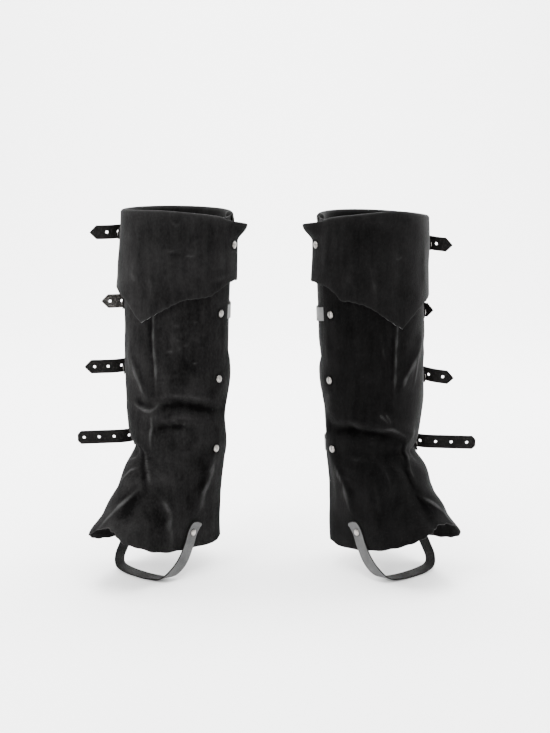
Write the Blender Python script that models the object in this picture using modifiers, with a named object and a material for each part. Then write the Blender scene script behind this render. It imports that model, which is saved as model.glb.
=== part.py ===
"""A pair of suede boot covers, in the form they take when worn.

Each cover is a shaft sheet wrapped once round the leg, with its outer end tucked under its riveted
inner edge, a turned-down cuff with a pointed lower edge, four straps that run from the inner edge
round the back to buckles on the outer side, and a stirrup strap that crosses under the instep.
Lengths are metres and +Z is up. Heights count up from the sole's level, and the pair's own zero
height is GRIP_HEIGHT above it, where the calves hold the covers up.
Angles go round the leg in degrees: 0 at the shin, 90 at the inner side, -90 at the outer side.
"""
import math

import bmesh
import bpy
from mathutils import Matrix, Vector

# Where the two covers stand
LEG_OUT = 0.121
TOE_OUT = math.radians(38)
GRIP_HEIGHT = 0.236
SIDES = {"left": -1, "right": 1}

# Walls and gaps
SUEDE = 0.0020
STRAP_WALL = 0.0018
CHAPE_WALL = 0.0012
GAP = 0.0003
STRAP_REST = 0.00035
STRAP_LOOSE = 0.00045
LAP_ROOM = 0.0010

# The leg's rounded form that the cloth takes, a row for each height
SECTIONS = (
    # height, forward, front reach, back reach, inner reach, outer reach, fullness
    (0.000, 0.002, 0.161, 0.058, 0.048, 0.048, 2.5),
    (0.050, 0.002, 0.157, 0.057, 0.048, 0.047, 2.5),
    (0.067, 0.002, 0.129, 0.056, 0.049, 0.048, 2.4),
    (0.093, 0.002, 0.104, 0.054, 0.052, 0.049, 2.2),
    (0.117, 0.001, 0.089, 0.053, 0.055, 0.053, 2.1),
    (0.138, 0.000, 0.066, 0.055, 0.058, 0.055, 2.0),
    (0.155, 0.002, 0.065, 0.057, 0.060, 0.060, 2.0),
    (0.190, 0.003, 0.066, 0.063, 0.061, 0.067, 2.0),
    (0.250, 0.003, 0.066, 0.068, 0.063, 0.069, 2.0),
    (0.311, 0.002, 0.067, 0.068, 0.065, 0.069, 2.0),
    (0.360, 0.000, 0.067, 0.067, 0.067, 0.068, 2.0),
    (0.445, 0.000, 0.068, 0.067, 0.070, 0.068, 2.0),
)

# The largest folds: a ridge or a trough from one point on the sheet to another
ROUND_PER_DEGREE = 0.00115
FOLDS = {
    "left": (
        # angle, height, angle, height, half width, rise
        (16, 0.202, 55, 0.206, 0.009, -0.0050),
        (55, 0.206, 96, 0.190, 0.009, -0.0040),
        (12, 0.228, 90, 0.226, 0.014, 0.0022),
        (12, 0.176, 42, 0.177, 0.008, -0.0030),
        (24, 0.190, 70, 0.186, 0.009, 0.0020),
        (-22, 0.262, 4, 0.221, 0.009, 0.0022),
        (-42, 0.139, -22, 0.137, 0.009, -0.0036),
        (-70, 0.165, -20, 0.158, 0.012, 0.0018),
        (10, 0.104, -36, 0.074, 0.010, 0.0030),
        (28, 0.098, 20, 0.060, 0.009, -0.0030),
        (86, 0.136, 83, 0.060, 0.010, 0.0022),
        (52, 0.074, 68, 0.028, 0.010, 0.0022),
        (104, 0.232, 108, 0.232, 0.014, 0.0016),
        (-145, 0.182, -215, 0.178, 0.010, -0.0034),
        (-140, 0.205, -220, 0.201, 0.012, 0.0018),
        (-150, 0.276, -205, 0.268, 0.012, -0.0026),
    ),
    "right": (
        # angle, height, angle, height, half width, rise
        (30, 0.166, 64, 0.172, 0.009, -0.0050),
        (64, 0.172, 94, 0.171, 0.009, -0.0030),
        (-8, 0.164, 30, 0.183, 0.009, 0.0036),
        (30, 0.190, 88, 0.194, 0.013, 0.0024),
        (-22, 0.282, 3, 0.229, 0.009, 0.0024),
        (26, 0.206, 26, 0.190, 0.008, -0.0030),
        (-48, 0.137, -22, 0.135, 0.010, -0.0044),
        (9, 0.101, -38, 0.072, 0.010, 0.0034),
        (14, 0.120, 12, 0.062, 0.009, -0.0034),
        (90, 0.128, 84, 0.058, 0.010, 0.0022),
        (58, 0.084, 69, 0.036, 0.010, 0.0022),
        (104, 0.230, 108, 0.230, 0.014, 0.0018),
        (-70, 0.270, -70, 0.330, 0.040, -0.0048),
        (-140, 0.176, -212, 0.183, 0.010, -0.0036),
        (-146, 0.201, -222, 0.204, 0.012, 0.0020),
        (-155, 0.266, -210, 0.272, 0.012, -0.0024),
        (125, 0.285, 125, 0.345, 0.030, 0.0040),
        (-235, 0.285, -235, 0.345, 0.030, 0.0040),
    ),
}

# The shaft sheet
INNER_EDGE = {
    "left": (
        # height, angle
        (0.000, 106), (0.060, 106), (0.100, 110), (0.143, 118), (0.186, 108), (0.234, 122),
        (0.276, 107), (0.317, 106), (0.450, 106),
    ),
    "right": (
        # height, angle
        (0.000, 103), (0.060, 108), (0.100, 109), (0.143, 107), (0.188, 105), (0.234, 123),
        (0.274, 104), (0.317, 101), (0.450, 101),
    ),
}
INNER_EDGE_FREE = 60
LAP_END = -274
LAP_FULL = -235
LAP_NONE = -180
LAP_SINK = SUEDE + STRAP_WALL + LAP_ROOM
SHAFT_COLUMNS = 37
SHAFT_ROWS = (
    0.020, 0.036, 0.052, 0.068, 0.084, 0.100, 0.114, 0.127, 0.139, 0.151, 0.164,
    0.177, 0.190, 0.204, 0.220, 0.242, 0.272, 0.310, 0.355, 0.400, 0.440,
)
HEM_FREE_ABOVE = 0.250
HEM = {
    "left": (
        # angle, height
        (-274, 0.096), (-185, 0.094), (-160, 0.082), (-135, 0.052), (-112, 0.024), (-90, 0.018),
        (-70, 0.022), (-45, 0.034), (-30, 0.045), (-15, 0.0525), (0, 0.0600), (15, 0.0570),
        (23, 0.0530), (33, 0.0450), (44, 0.0380), (58, 0.0260), (72, 0.0195), (86, 0.0140),
        (94, 0.0120), (106, 0.0180),
    ),
    "right": (
        # angle, height
        (-274, 0.096), (-185, 0.094), (-160, 0.082), (-135, 0.052), (-112, 0.024), (-90, 0.018),
        (-70, 0.022), (-45, 0.036), (-30, 0.048), (-18, 0.0590), (0, 0.0630), (15, 0.0585),
        (23, 0.0560), (33, 0.0515), (44, 0.0430), (58, 0.0310), (72, 0.0190), (86, 0.0100),
        (94, 0.0110), (106, 0.0150),
    ),
}
TOP_EDGE = {
    "left": (
        # angle, height
        (-274, 0.436), (-180, 0.436), (-62, 0.439), (13, 0.4435), (42, 0.4420), (84, 0.4350),
        (112, 0.425),
    ),
    "right": (
        # angle, height
        (-274, 0.433), (-180, 0.433), (-62, 0.431), (13, 0.4425), (29, 0.4420), (66, 0.437),
        (86, 0.4330), (112, 0.4245),
    ),
}

# The cuff: how far its inner face stands off the leg's form at its top and its lower edge
CUFF_BACK_END = -236
CUFF_INNER_END = 112
CUFF_HIGH = 0.435
CUFF_LOW = 0.345
CUFF_ROWS = (0.0, 0.2, 0.4, 0.6, 0.76, 0.88, 1.0)
CUFF_STEP = 9
CUFF_STAND_OFF = {
    "left": (
        # angle, at the top, at the lower edge
        (-250, 0.0030, 0.0060), (-180, 0.0030, 0.0080), (-90, 0.0030, 0.0112),
        (-45, 0.0030, 0.0108), (0, 0.0030, 0.0080), (45, 0.0030, 0.0060), (90, 0.0050, 0.0068),
        (118, 0.0078, 0.0084),
    ),
    "right": (
        # angle, at the top, at the lower edge
        (-250, 0.0030, 0.0060), (-180, 0.0030, 0.0064), (-90, 0.0030, 0.0066),
        (-45, 0.0030, 0.0070), (0, 0.0030, 0.0074), (45, 0.0030, 0.0060), (90, 0.0050, 0.0068),
        (118, 0.0078, 0.0084),
    ),
}
CUFF_EDGE = {
    "left": (
        # angle, height
        (-236, 0.3560), (-180, 0.3560), (-120, 0.3540), (-75, 0.3510), (-37, 0.3447),
        (-19, 0.3357), (-12, 0.3290), (0, 0.3140), (4.5, 0.3100), (12, 0.3155), (22, 0.3230),
        (36, 0.3330), (46, 0.3400), (58, 0.3425), (72, 0.3435), (88, 0.3520), (103, 0.3575),
        (118, 0.3560),
    ),
    "right": (
        # angle, height
        (-236, 0.3560), (-180, 0.3560), (-120, 0.3540), (-75, 0.3480), (-40, 0.3380),
        (-17, 0.3298), (-9, 0.3250), (4, 0.3110), (11, 0.3025), (18, 0.3074), (31, 0.3190),
        (39, 0.3267), (48, 0.3325), (63, 0.3365), (71, 0.3356), (78, 0.3450), (88, 0.3520),
        (103, 0.3545), (118, 0.3560),
    ),
}
EAR_START = 92
EAR_BELOW = 0.015
EAR_OUT = 0.0105
EAR_ROUND = 5.0

# Straps, counted down from the cuff
STRAP_WIDTH = 0.018
STRAP_START = 78
STRAP_STEP = 0.0085
HOLE_RADIUS = 0.00225
HOLE_SIDES = 8
HOLE_COUNT = 5
POINT_LENGTH = 0.0085
BLUNT_LENGTH = 0.0045
BLUNT_HALF = 0.0045
STRAPS = {
    "left": (
        # height: rivet, buckle, tip; tail length, first hole, hole pitch, buckle angle, blunt tip
        (0.402, 0.4110, 0.4105, 0.042, 0.0220, 0.0150, -85, False),
        (0.317, 0.3215, 0.3220, 0.032, 0.0110, 0.0155, -85, False),
        (0.234, 0.2360, 0.2350, 0.056, 0.0130, 0.0177, -86, False),
        (0.143, 0.1420, 0.1390, 0.078, 0.0085, 0.0199, -88, True),
    ),
    "right": (
        # height: rivet, buckle, tip; tail length, first hole, hole pitch, buckle angle, blunt tip
        (0.402, 0.3970, 0.3940, 0.034, 0.0210, 0.0230, -85, False),
        (0.316, 0.3105, 0.3105, 0.014, 0.0240, 0.0180, -82, False),
        (0.231, 0.2250, 0.2200, 0.042, 0.0145, 0.0188, -86, False),
        (0.141, 0.1350, 0.1325, 0.084, 0.0115, 0.0206, -88, True),
    ),
}
RIVET_ANGLES = {"left": (104, 92.4, 90.0, 86.5), "right": (104, 89.5, 94.0, 90.0)}

# How far each strap sags behind the inner edge
STRAP_DIPS = (0.0, 0.0050, 0.0, 0.0)

# Buckles: a wire frame with a prong, held by a short looped chape
FRAME_HALF_LENGTH = 0.010
FRAME_HALF_HEIGHT = 0.0118
FRAME_CORNER = 0.0030
WIRE_RADIUS = 0.0015
PRONG_RADIUS = 0.0010
FRAME_LIFT = 0.0050
CHAPE_WIDTH = 0.014
CHAPE_REACH = 27
CHAPE_RIVET_BACK = 4
TAIL_RISE = math.radians(19)
TAIL_TURN = math.radians(54)
TAIL_BEND = 0.030

# Rivet heads
HEAD_RADIUS = 0.0045
HEAD_HEIGHT = 0.0016
HEAD_STEPS = 10

# The stirrup strap, from its rivet down and under the instep, a row for each bend
STIRRUP_ROWS = (
    # forward, height, share of the way out to the sheet, width's forward share, upward share
    (0.031, 0.0500, 1.00, 0.90, 0.44),
    (0.040, 0.0380, 1.00, 0.88, 0.47),
    (0.048, 0.0220, 1.00, 0.86, 0.51),
    (0.060, 0.0060, 1.01, 0.82, 0.57),
    (0.072, -0.0060, 0.96, 0.86, 0.40),
    (0.080, -0.0140, 0.78, 0.97, 0.12),
    (0.084, -0.0162, 0.40, 1.00, 0.00),
    (0.085, -0.0164, 0.00, 1.00, 0.00),
)
STIRRUP_HEM = 0.022
STIRRUP_STEPS = 26


def row_at(table, key):
    """The smooth value of a table's columns at a key, which its first column holds."""
    if key <= table[0][0]:
        return list(table[0][1:])
    if key >= table[-1][0]:
        return list(table[-1][1:])
    low = max(i for i in range(len(table) - 1) if table[i][0] <= key)
    start, end = table[low], table[low + 1]
    before, after = table[max(low - 1, 0)], table[min(low + 2, len(table) - 1)]
    span = end[0] - start[0]
    t = (key - start[0]) / span
    values = []
    for k in range(1, len(start)):
        slope_in = (end[k] - before[k]) / (end[0] - before[0]) * span
        slope_out = (after[k] - start[k]) / (after[0] - start[0]) * span
        values.append(
            (2 * t ** 3 - 3 * t ** 2 + 1) * start[k]
            + (t ** 3 - 2 * t ** 2 + t) * slope_in
            + (3 * t ** 2 - 2 * t ** 3) * end[k]
            + (t ** 3 - t ** 2) * slope_out
        )
    return values


def straight_at(table, key):
    """The value of a table's second column at a key, along straight lines, so corners stay sharp."""
    for start, end in zip(table, table[1:]):
        if key <= end[0]:
            share = max(0.0, (key - start[0]) / (end[0] - start[0]))
            return start[1] + share * (end[1] - start[1])
    return table[-1][1]


def ease(value):
    """A smooth step from 0 to 1."""
    value = min(1.0, max(0.0, value))
    return value * value * (3 - 2 * value)


def fold_rise(side, angle, height):
    """How far the folds lift the sheet at a point, outward."""
    rise = 0.0
    for angle_a, height_a, angle_b, height_b, half_width, lift in FOLDS[side]:
        along = ((angle_b - angle_a) * ROUND_PER_DEGREE, height_b - height_a)
        offset = ((angle - angle_a) * ROUND_PER_DEGREE, height - height_a)
        length = max(along[0] ** 2 + along[1] ** 2, 1e-9)
        share = min(1.0, max(0.0, (offset[0] * along[0] + offset[1] * along[1]) / length))
        gap_x = offset[0] - share * along[0]
        gap_y = offset[1] - share * along[1]
        rise += lift * math.exp(-(gap_x ** 2 + gap_y ** 2) / half_width ** 2)
    return rise


def lap_sink(angle):
    """How far the sheet's outer end sinks to pass under the straps and the inner edge."""
    return -LAP_SINK * ease((LAP_NONE - angle) / (LAP_NONE - LAP_FULL))


def outline(side, angle, height, out):
    """A point at an angle and height, moved out from the form: forward and inward from the leg."""
    forward, front, back, inner, outer, fullness = row_at(SECTIONS, height)
    turn = math.radians(angle)
    cosine, sine = math.cos(turn), math.sin(turn)
    reach = front if cosine > 0 else back
    width = inner if sine > 0 else outer
    power = 2 / fullness
    along = reach * math.copysign(abs(cosine) ** power, cosine)
    across = width * math.copysign(abs(sine) ** power, sine)
    normal = Vector((
        math.copysign(abs(along / reach) ** (fullness - 1) / reach, cosine),
        math.copysign(abs(across / width) ** (fullness - 1) / width, sine),
    )).normalized()
    return Vector((forward + along, across)) + normal * out, normal


def to_world(side, forward, inward, height):
    """From a cover's own forward, inward and height to the pair's frame."""
    sign = SIDES[side]
    return Vector((
        sign * (LEG_OUT + math.sin(TOE_OUT) * forward - math.cos(TOE_OUT) * inward),
        -math.cos(TOE_OUT) * forward - math.sin(TOE_OUT) * inward,
        height - GRIP_HEIGHT,
    ))


def sheet_point(side, angle, height, out):
    """A point on the shaft sheet's inner face, or moved out from it."""
    lift = fold_rise(side, angle, height) + lap_sink(angle)
    point, _ = outline(side, angle, height, lift + out)
    return to_world(side, point.x, point.y, height)


def outward(side, angle, height):
    """The level direction straight out of the sheet."""
    _, normal = outline(side, angle, height, 0.0)
    return (to_world(side, normal.x, normal.y, 0) - to_world(side, 0, 0, 0)).normalized()


def cuff_stand_off(side, angle, height):
    """How far the cuff's inner face stands off the shaft's inner face, at an angle and height."""
    top, low = row_at(CUFF_STAND_OFF[side], angle)
    share = min(1.0, max(0.0, (CUFF_HIGH - height) / (CUFF_HIGH - CUFF_LOW)))
    ear = ease((angle - EAR_START) / (CUFF_INNER_END - EAR_START))
    ear *= ease(1 - (straight_at(TOP_EDGE[side], angle) - height) / EAR_BELOW)
    return top + share * (low - top) + EAR_OUT * ear


def new_material(name, colour, roughness, metallic):
    material = bpy.data.materials.new(name)
    material.use_nodes = True
    shader = material.node_tree.nodes["Principled BSDF"]
    shader.inputs["Base Color"].default_value = (*colour, 1)
    shader.inputs["Roughness"].default_value = roughness
    shader.inputs["Metallic"].default_value = metallic
    return material


def link_object(name, data, collection, material=None):
    """A new object for a mesh or curve, in its collection."""
    item = bpy.data.objects.new(name, data)
    collection.objects.link(item)
    if material is not None:
        data.materials.append(material)
    return item


def grid_mesh(name, rows, flip):
    """An open surface through rows of points. A row of one point closes a tip."""
    mesh = bpy.data.meshes.new(name)
    shape = bmesh.new()
    grid = [[shape.verts.new(point) for point in row] for row in rows]
    for low, high in zip(grid, grid[1:]):
        for i in range(max(len(low), len(high)) - 1):
            if len(high) == 1:
                corners = [low[i], low[i + 1], high[0]]
            else:
                corners = [low[i], low[i + 1], high[i + 1], high[i]]
            if flip:
                corners.reverse()
            shape.faces.new(corners)
    shape.to_mesh(mesh)
    shape.free()
    mesh.shade_smooth()
    mesh.set_sharp_from_angle(angle=math.radians(40))
    return mesh


def thicken(item, wall, offset):
    solid = item.modifiers.new("wall", "SOLIDIFY")
    solid.thickness = wall
    solid.offset = offset
    solid.use_even_offset = True


def edge_shift(side, angle, height):
    """How far round a column near the inner edge moves, so that the edge bulges over the straps."""
    end = INNER_EDGE[side][-1][1]
    reach = row_at(INNER_EDGE[side], height)[0] - end
    return reach * ease((angle - INNER_EDGE_FREE) / (end - INNER_EDGE_FREE))


def make_shaft(side, collection, material):
    """The shaft sheet, from its tucked end round the back and the front to its inner edge."""
    rows = []
    step = (INNER_EDGE[side][-1][1] - LAP_END) / (SHAFT_COLUMNS - 1)
    angles = [LAP_END + step * i for i in range(SHAFT_COLUMNS)]
    for level in SHAFT_ROWS:
        row = []
        for angle in angles:
            hem = row_at(HEM[side], angle)[0]
            top = row_at(TOP_EDGE[side], angle)[0]
            share = max(0.0, 1 - (level - SHAFT_ROWS[0]) / (HEM_FREE_ABOVE - SHAFT_ROWS[0]))
            height = level + (hem - SHAFT_ROWS[0]) * share
            if level > HEM_FREE_ABOVE:
                rise = (level - HEM_FREE_ABOVE) / (SHAFT_ROWS[-1] - HEM_FREE_ABOVE)
                height += (top - SHAFT_ROWS[-1]) * rise
            row.append(sheet_point(side, angle + edge_shift(side, angle, height), height, 0.0))
        rows.append(row)
    mesh = grid_mesh(f"{side}_shaft", rows, SIDES[side] > 0)
    item = link_object(f"{side}_shaft", mesh, collection, material)
    thicken(item, SUEDE, 1.0)


def make_cuff(side, collection, material):
    """The cuff, joined along the top edge, with its point near the shin and its ear at the end."""
    point_angle = min(CUFF_EDGE[side], key=lambda row: row[1])[0]
    angles = [CUFF_BACK_END + CUFF_STEP * i for i in range(60)]
    angles = [angle for angle in angles if angle < CUFF_INNER_END - CUFF_STEP / 2]
    angles = [angle for angle in angles if abs(angle - point_angle) > CUFF_STEP * 0.55]
    angles = sorted(angles + [point_angle, CUFF_INNER_END])
    rows = []
    for share in CUFF_ROWS:
        row = []
        for angle in angles:
            top = row_at(TOP_EDGE[side], angle)[0]
            low = straight_at(CUFF_EDGE[side], angle)
            height = low + share * (top - low)
            ear = ease((angle - EAR_START) / (CUFF_INNER_END - EAR_START))
            ear *= ease(1 - (top - height) / EAR_BELOW)
            row.append(sheet_point(
                side, angle + EAR_ROUND * ear, height, cuff_stand_off(side, angle, height),
            ))
        rows.append(row)
    mesh = grid_mesh(f"{side}_cuff", rows, SIDES[side] > 0)
    item = link_object(f"{side}_cuff", mesh, collection, material)
    thicken(item, SUEDE, 1.0)


class Carrier:
    """What a strap and its buckle lie on: the cuff for the first strap, the shaft for the others."""

    def __init__(self, side, number):
        self.side = side
        self.on_cuff = number == 0

    def skin(self, angle, height):
        """A point on the carrier's outer face."""
        stand_off = cuff_stand_off(self.side, angle, height) if self.on_cuff else 0.0
        return sheet_point(self.side, angle, height, stand_off + SUEDE)

    def over(self, angle, height, reach, out):
        """A point out from the carrier, clear of it from a reach below the height to one above."""
        base = self.skin(angle, height)
        normal = outward(self.side, angle, height)
        levels = (height - reach, height - reach / 2, height + reach / 2, height + reach)
        lift = max(0.0, *((self.skin(angle, level) - base).dot(normal) for level in levels))
        return base + normal * (lift + out)

    def disc_seat(self, angle, height, radius, out):
        """A flat disc's place on the carrier, clear of it all round, and the way the disc faces."""
        turn = radius / ROUND_PER_DEGREE
        base = self.skin(angle, height)
        before, after = self.skin(angle - turn, height), self.skin(angle + turn, height)
        low, high = self.skin(angle, height - radius), self.skin(angle, height + radius)
        direction = (after - before).cross(high - low).normalized()
        if direction.dot(outward(self.side, angle, height)) < 0:
            direction.negate()
        lift = max(0.0, *((rim - base).dot(direction) for rim in (before, after, low, high)))
        return base + direction * (lift + out), direction

    def strap_line(self, turn, height):
        """The strap's middle and its upward half width, at a turn that runs on past 180 degrees."""
        reach = STRAP_WIDTH / 2
        behind = turn - 360
        loose = STRAP_LOOSE * ease((behind - LAP_FULL) / (LAP_NONE - LAP_FULL))
        rest = STRAP_WALL / 2 + STRAP_REST + loose
        middle, up = self.leaning(behind, height, reach, rest)
        if self.on_cuff:
            room = -STRAP_WALL / 2 - 2 * STRAP_REST
            low, high = (
                sheet_point(self.side, turn, level, cuff_stand_off(self.side, turn, level) + room)
                for level in (height - reach, height + reach)
            )
            share = (turn - CUFF_INNER_END) / (CUFF_BACK_END + 360 - CUFF_INNER_END)
            middle = ((low + high) / 2).lerp(middle, ease(share))
            up = (high - low).normalized().lerp(up.normalized(), ease(share)).normalized() * reach
        return middle, up

    def leaning(self, angle, height, reach, out):
        """A band that leans as the carrier does and clears its outer face by a distance."""
        low, high = self.skin(angle, height - reach), self.skin(angle, height + reach)
        normal = outward(self.side, angle, height)
        bulge = 0.0
        for share in (0.25, 0.5, 0.75):
            between = self.skin(angle, height + reach * (2 * share - 1)) - low.lerp(high, share)
            bulge = max(bulge, between.dot(normal))
        return (low + high) / 2 + normal * (bulge + out), (high - low).normalized() * reach


class BuckleSeat:
    """The buckle's own frame: along the strap, out from the leg, and up."""

    def __init__(self, side, carrier, angle, height):
        self.side = side
        self.carrier = carrier
        self.angle = angle
        self.height = height
        self.origin = carrier.over(angle, height, FRAME_HALF_HEIGHT, 0.0)
        self.out = outward(side, angle, height)
        ahead = sheet_point(side, angle + 2, height, 0) - sheet_point(side, angle - 2, height, 0)
        self.along = (ahead - self.out * ahead.dot(self.out)).normalized()

    def place(self, along, out, up=0.0):
        return self.origin + self.along * along + self.out * out + Vector((0, 0, up))


def smooth_band(stations, step):
    """Even steps along a smooth band through stations, each its middle and its upward half width."""
    dense = []
    for i in range(len(stations) - 1):
        before = stations[max(i - 1, 0)]
        after = stations[min(i + 2, len(stations) - 1)]
        start, end = stations[i], stations[i + 1]
        for k in range(12):
            t = k / 12
            dense.append(tuple(
                start[j] * (2 * t ** 3 - 3 * t ** 2 + 1) + end[j] * (3 * t ** 2 - 2 * t ** 3)
                + (end[j] - before[j]) * 0.5 * (t ** 3 - 2 * t ** 2 + t)
                + (after[j] - start[j]) * 0.5 * (t ** 3 - t ** 2)
                for j in (0, 1)
            ))
    dense.append(stations[-1])
    lengths = [0.0]
    for a, b in zip(dense, dense[1:]):
        lengths.append(lengths[-1] + (b[0] - a[0]).length)
    count = max(2, round(lengths[-1] / step))
    return [band_at(dense, lengths, lengths[-1] * i / count) for i in range(count + 1)]


def band_at(band, lengths, distance):
    """The band's middle and half width at a distance along it."""
    k = max(i for i in range(len(lengths) - 1) if lengths[i] <= distance or i == 0)
    share = (distance - lengths[k]) / max(lengths[k + 1] - lengths[k], 1e-9)
    return tuple(band[k][j].lerp(band[k + 1][j], share) for j in (0, 1))


def tail_points(seat, length, drop):
    """The free tail: it climbs over the frame's near bar and bends away from the leg."""
    point = (FRAME_HALF_LENGTH, FRAME_LIFT + WIRE_RADIUS + CHAPE_WALL + STRAP_WALL / 2 + 3 * GAP)
    heading = TAIL_RISE
    points = [seat.place(*point)]
    pieces = max(2, round(length / 0.006))
    for i in range(pieces):
        piece = length / pieces
        share = ease((i + 0.5) * piece / TAIL_BEND)
        heading = TAIL_RISE + (TAIL_TURN - TAIL_RISE) * share
        point = (point[0] + piece * math.cos(heading), point[1] + piece * math.sin(heading))
        points.append(seat.place(*point, drop * (i + 1) / pieces))
    up = Vector((0, 0, STRAP_WIDTH / 2))
    return [(point, up) for point in points]


def strap_route(side, number, seat):
    """The strap's band, from under the inner edge to the tip of its tail."""
    rivet, buckle, tip, tail, *_ = STRAPS[side][number]
    last = 360 + seat.angle - 17
    stations = []
    for i in range(25):
        share = i / 24
        turn = STRAP_START + (last - STRAP_START) * share
        dip = STRAP_DIPS[number] * ease((turn - 92) / 40) * ease((200 - turn) / 60)
        stations.append(seat.carrier.strap_line(turn, rivet + (buckle - rivet) * share - dip))
    up = Vector((0, 0, STRAP_WIDTH / 2))
    under_bar = FRAME_LIFT - WIRE_RADIUS - 2 * GAP - STRAP_WALL / 2
    stations.append((seat.place(-FRAME_HALF_LENGTH, under_bar), up))
    stations.append((seat.place(0, FRAME_LIFT + 0.0008), up))
    return stations + tail_points(seat, tail, tip - buckle)


def make_strap(side, number, seat, collection, cutters, material):
    """One strap with its shaped tip and its punched holes."""
    _, _, _, _, first_hole, pitch, _, blunt = STRAPS[side][number]
    band = smooth_band(strap_route(side, number, seat), STRAP_STEP)
    tip, tip_up = band[-1]
    heading = (tip - band[-2][0]).normalized()
    shoulder = tip - heading * (BLUNT_LENGTH if blunt else POINT_LENGTH)
    rows = [
        [middle - up, middle + up] for middle, up in band[:-1]
        if (middle - shoulder).dot(heading) < -0.001 or (middle - tip).length > 2 * STRAP_WIDTH
    ]
    rows.append([shoulder - tip_up, shoulder + tip_up])
    if blunt:
        end_up = tip_up * BLUNT_HALF / tip_up.length
        rows.append([tip - end_up, tip + end_up])
    else:
        rows.append([tip])
    name = f"{side}_strap_{number + 1}"
    item = link_object(name, grid_mesh(name, rows, False), collection, material)
    thicken(item, STRAP_WALL, 0.0)
    cut = item.modifiers.new("holes", "BOOLEAN")
    cut.operation = "DIFFERENCE"
    cut.solver = "EXACT"
    cut.object = make_punches(name, band, first_hole, pitch, cutters)


def make_punches(name, band, first_hole, pitch, cutters):
    """Round punches across a strap, set back from its tip."""
    shape = bmesh.new()
    lengths = [0.0]
    for a, b in zip(band, band[1:]):
        lengths.append(lengths[-1] + (b[0] - a[0]).length)
    for k in range(HOLE_COUNT):
        distance = lengths[-1] - first_hole - pitch * k
        centre, up = band_at(band, lengths, distance)
        ahead, _ = band_at(band, lengths, distance + 0.001)
        across = (ahead - centre).cross(up).normalized()
        turn = across.to_track_quat("Z", "Y").to_matrix().to_4x4()
        bmesh.ops.create_cone(
            shape, cap_ends=True, segments=HOLE_SIDES, radius1=HOLE_RADIUS,
            radius2=HOLE_RADIUS, depth=STRAP_WALL * 3, matrix=Matrix.Translation(centre) @ turn,
        )
    mesh = bpy.data.meshes.new(f"{name}_punches")
    shape.to_mesh(mesh)
    shape.free()
    cutter = link_object(f"{name}_punches", mesh, cutters)
    cutter.hide_render = True
    cutter.display_type = "WIRE"
    return cutter


def wire_object(name, points, centre, radius, closed, collection, material):
    """A round wire through points given in the pair's frame, placed at its centre."""
    curve = bpy.data.curves.new(name, "CURVE")
    curve.dimensions = "3D"
    curve.bevel_depth = radius
    curve.bevel_resolution = 1
    curve.use_fill_caps = not closed
    spline = curve.splines.new("POLY")
    spline.points.add(len(points) - 1)
    for target, point in zip(spline.points, points):
        target.co = (*(point - centre), 1)
    spline.use_cyclic_u = closed
    item = link_object(name, curve, collection, material)
    item.location = centre


def make_buckle(side, number, seat, collection, metal):
    """The wire frame with round corners, and the prong that comes up through the strap's hole."""
    corners = []
    for end, top in ((1, 1), (-1, 1), (-1, -1), (1, -1)):
        middle = (end * (FRAME_HALF_LENGTH - FRAME_CORNER), top * (FRAME_HALF_HEIGHT - FRAME_CORNER))
        start = {(1, 1): 0, (-1, 1): 90, (-1, -1): 180, (1, -1): 270}[(end, top)]
        for k in range(3):
            turn = math.radians(start + 45 * k)
            corners.append(seat.place(
                middle[0] + FRAME_CORNER * math.cos(turn), FRAME_LIFT,
                middle[1] + FRAME_CORNER * math.sin(turn),
            ))
    centre = seat.place(0, FRAME_LIFT)
    wire_object(
        f"{side}_buckle_{number + 1}", corners, centre, WIRE_RADIUS, True, collection, metal,
    )
    rest = WIRE_RADIUS + PRONG_RADIUS + GAP
    prong = [
        seat.place(FRAME_HALF_LENGTH - WIRE_RADIUS - CHAPE_WALL - 3 * GAP, FRAME_LIFT - 0.0003),
        seat.place(0.0022, FRAME_LIFT - 0.0010),
        seat.place(-0.0016, FRAME_LIFT + rest + 0.0008),
        seat.place(-FRAME_HALF_LENGTH - 0.0018, FRAME_LIFT + rest),
    ]
    wire_object(
        f"{side}_prong_{number + 1}", prong, centre, PRONG_RADIUS, False, collection, metal,
    )


def make_chape(side, number, seat, collection, material):
    """The short strap that loops round the buckle's near bar and is riveted to the sheet."""
    angle, height = seat.angle, seat.height
    near = CHAPE_WALL / 2 + 3 * GAP
    loop = WIRE_RADIUS + GAP + CHAPE_WALL / 2

    def on_sheet(reach, out):
        return seat.carrier.leaning(angle + reach, height, CHAPE_WIDTH / 2, out)

    up = Vector((0, 0, CHAPE_WIDTH / 2))
    far_layer = near + CHAPE_WALL + GAP
    stations = [on_sheet(reach, near) for reach in (CHAPE_REACH, CHAPE_REACH - 5, CHAPE_REACH - 10)]
    for turn in (270, 225, 180, 135, 90, 45):
        turned = math.radians(turn)
        stations.append((seat.place(
            FRAME_HALF_LENGTH + loop * math.cos(turned), FRAME_LIFT + loop * math.sin(turned),
        ), up))
    stations += [
        on_sheet(reach, far_layer) for reach in (CHAPE_REACH - 10, CHAPE_REACH - 5, CHAPE_REACH)
    ]
    rows = [[middle - half_up, middle + half_up] for middle, half_up in stations]
    name = f"{side}_chape_{number + 1}"
    item = link_object(name, grid_mesh(name, rows, False), collection, material)
    thicken(item, CHAPE_WALL, 0.0)
    return far_layer + CHAPE_WALL / 2


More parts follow.
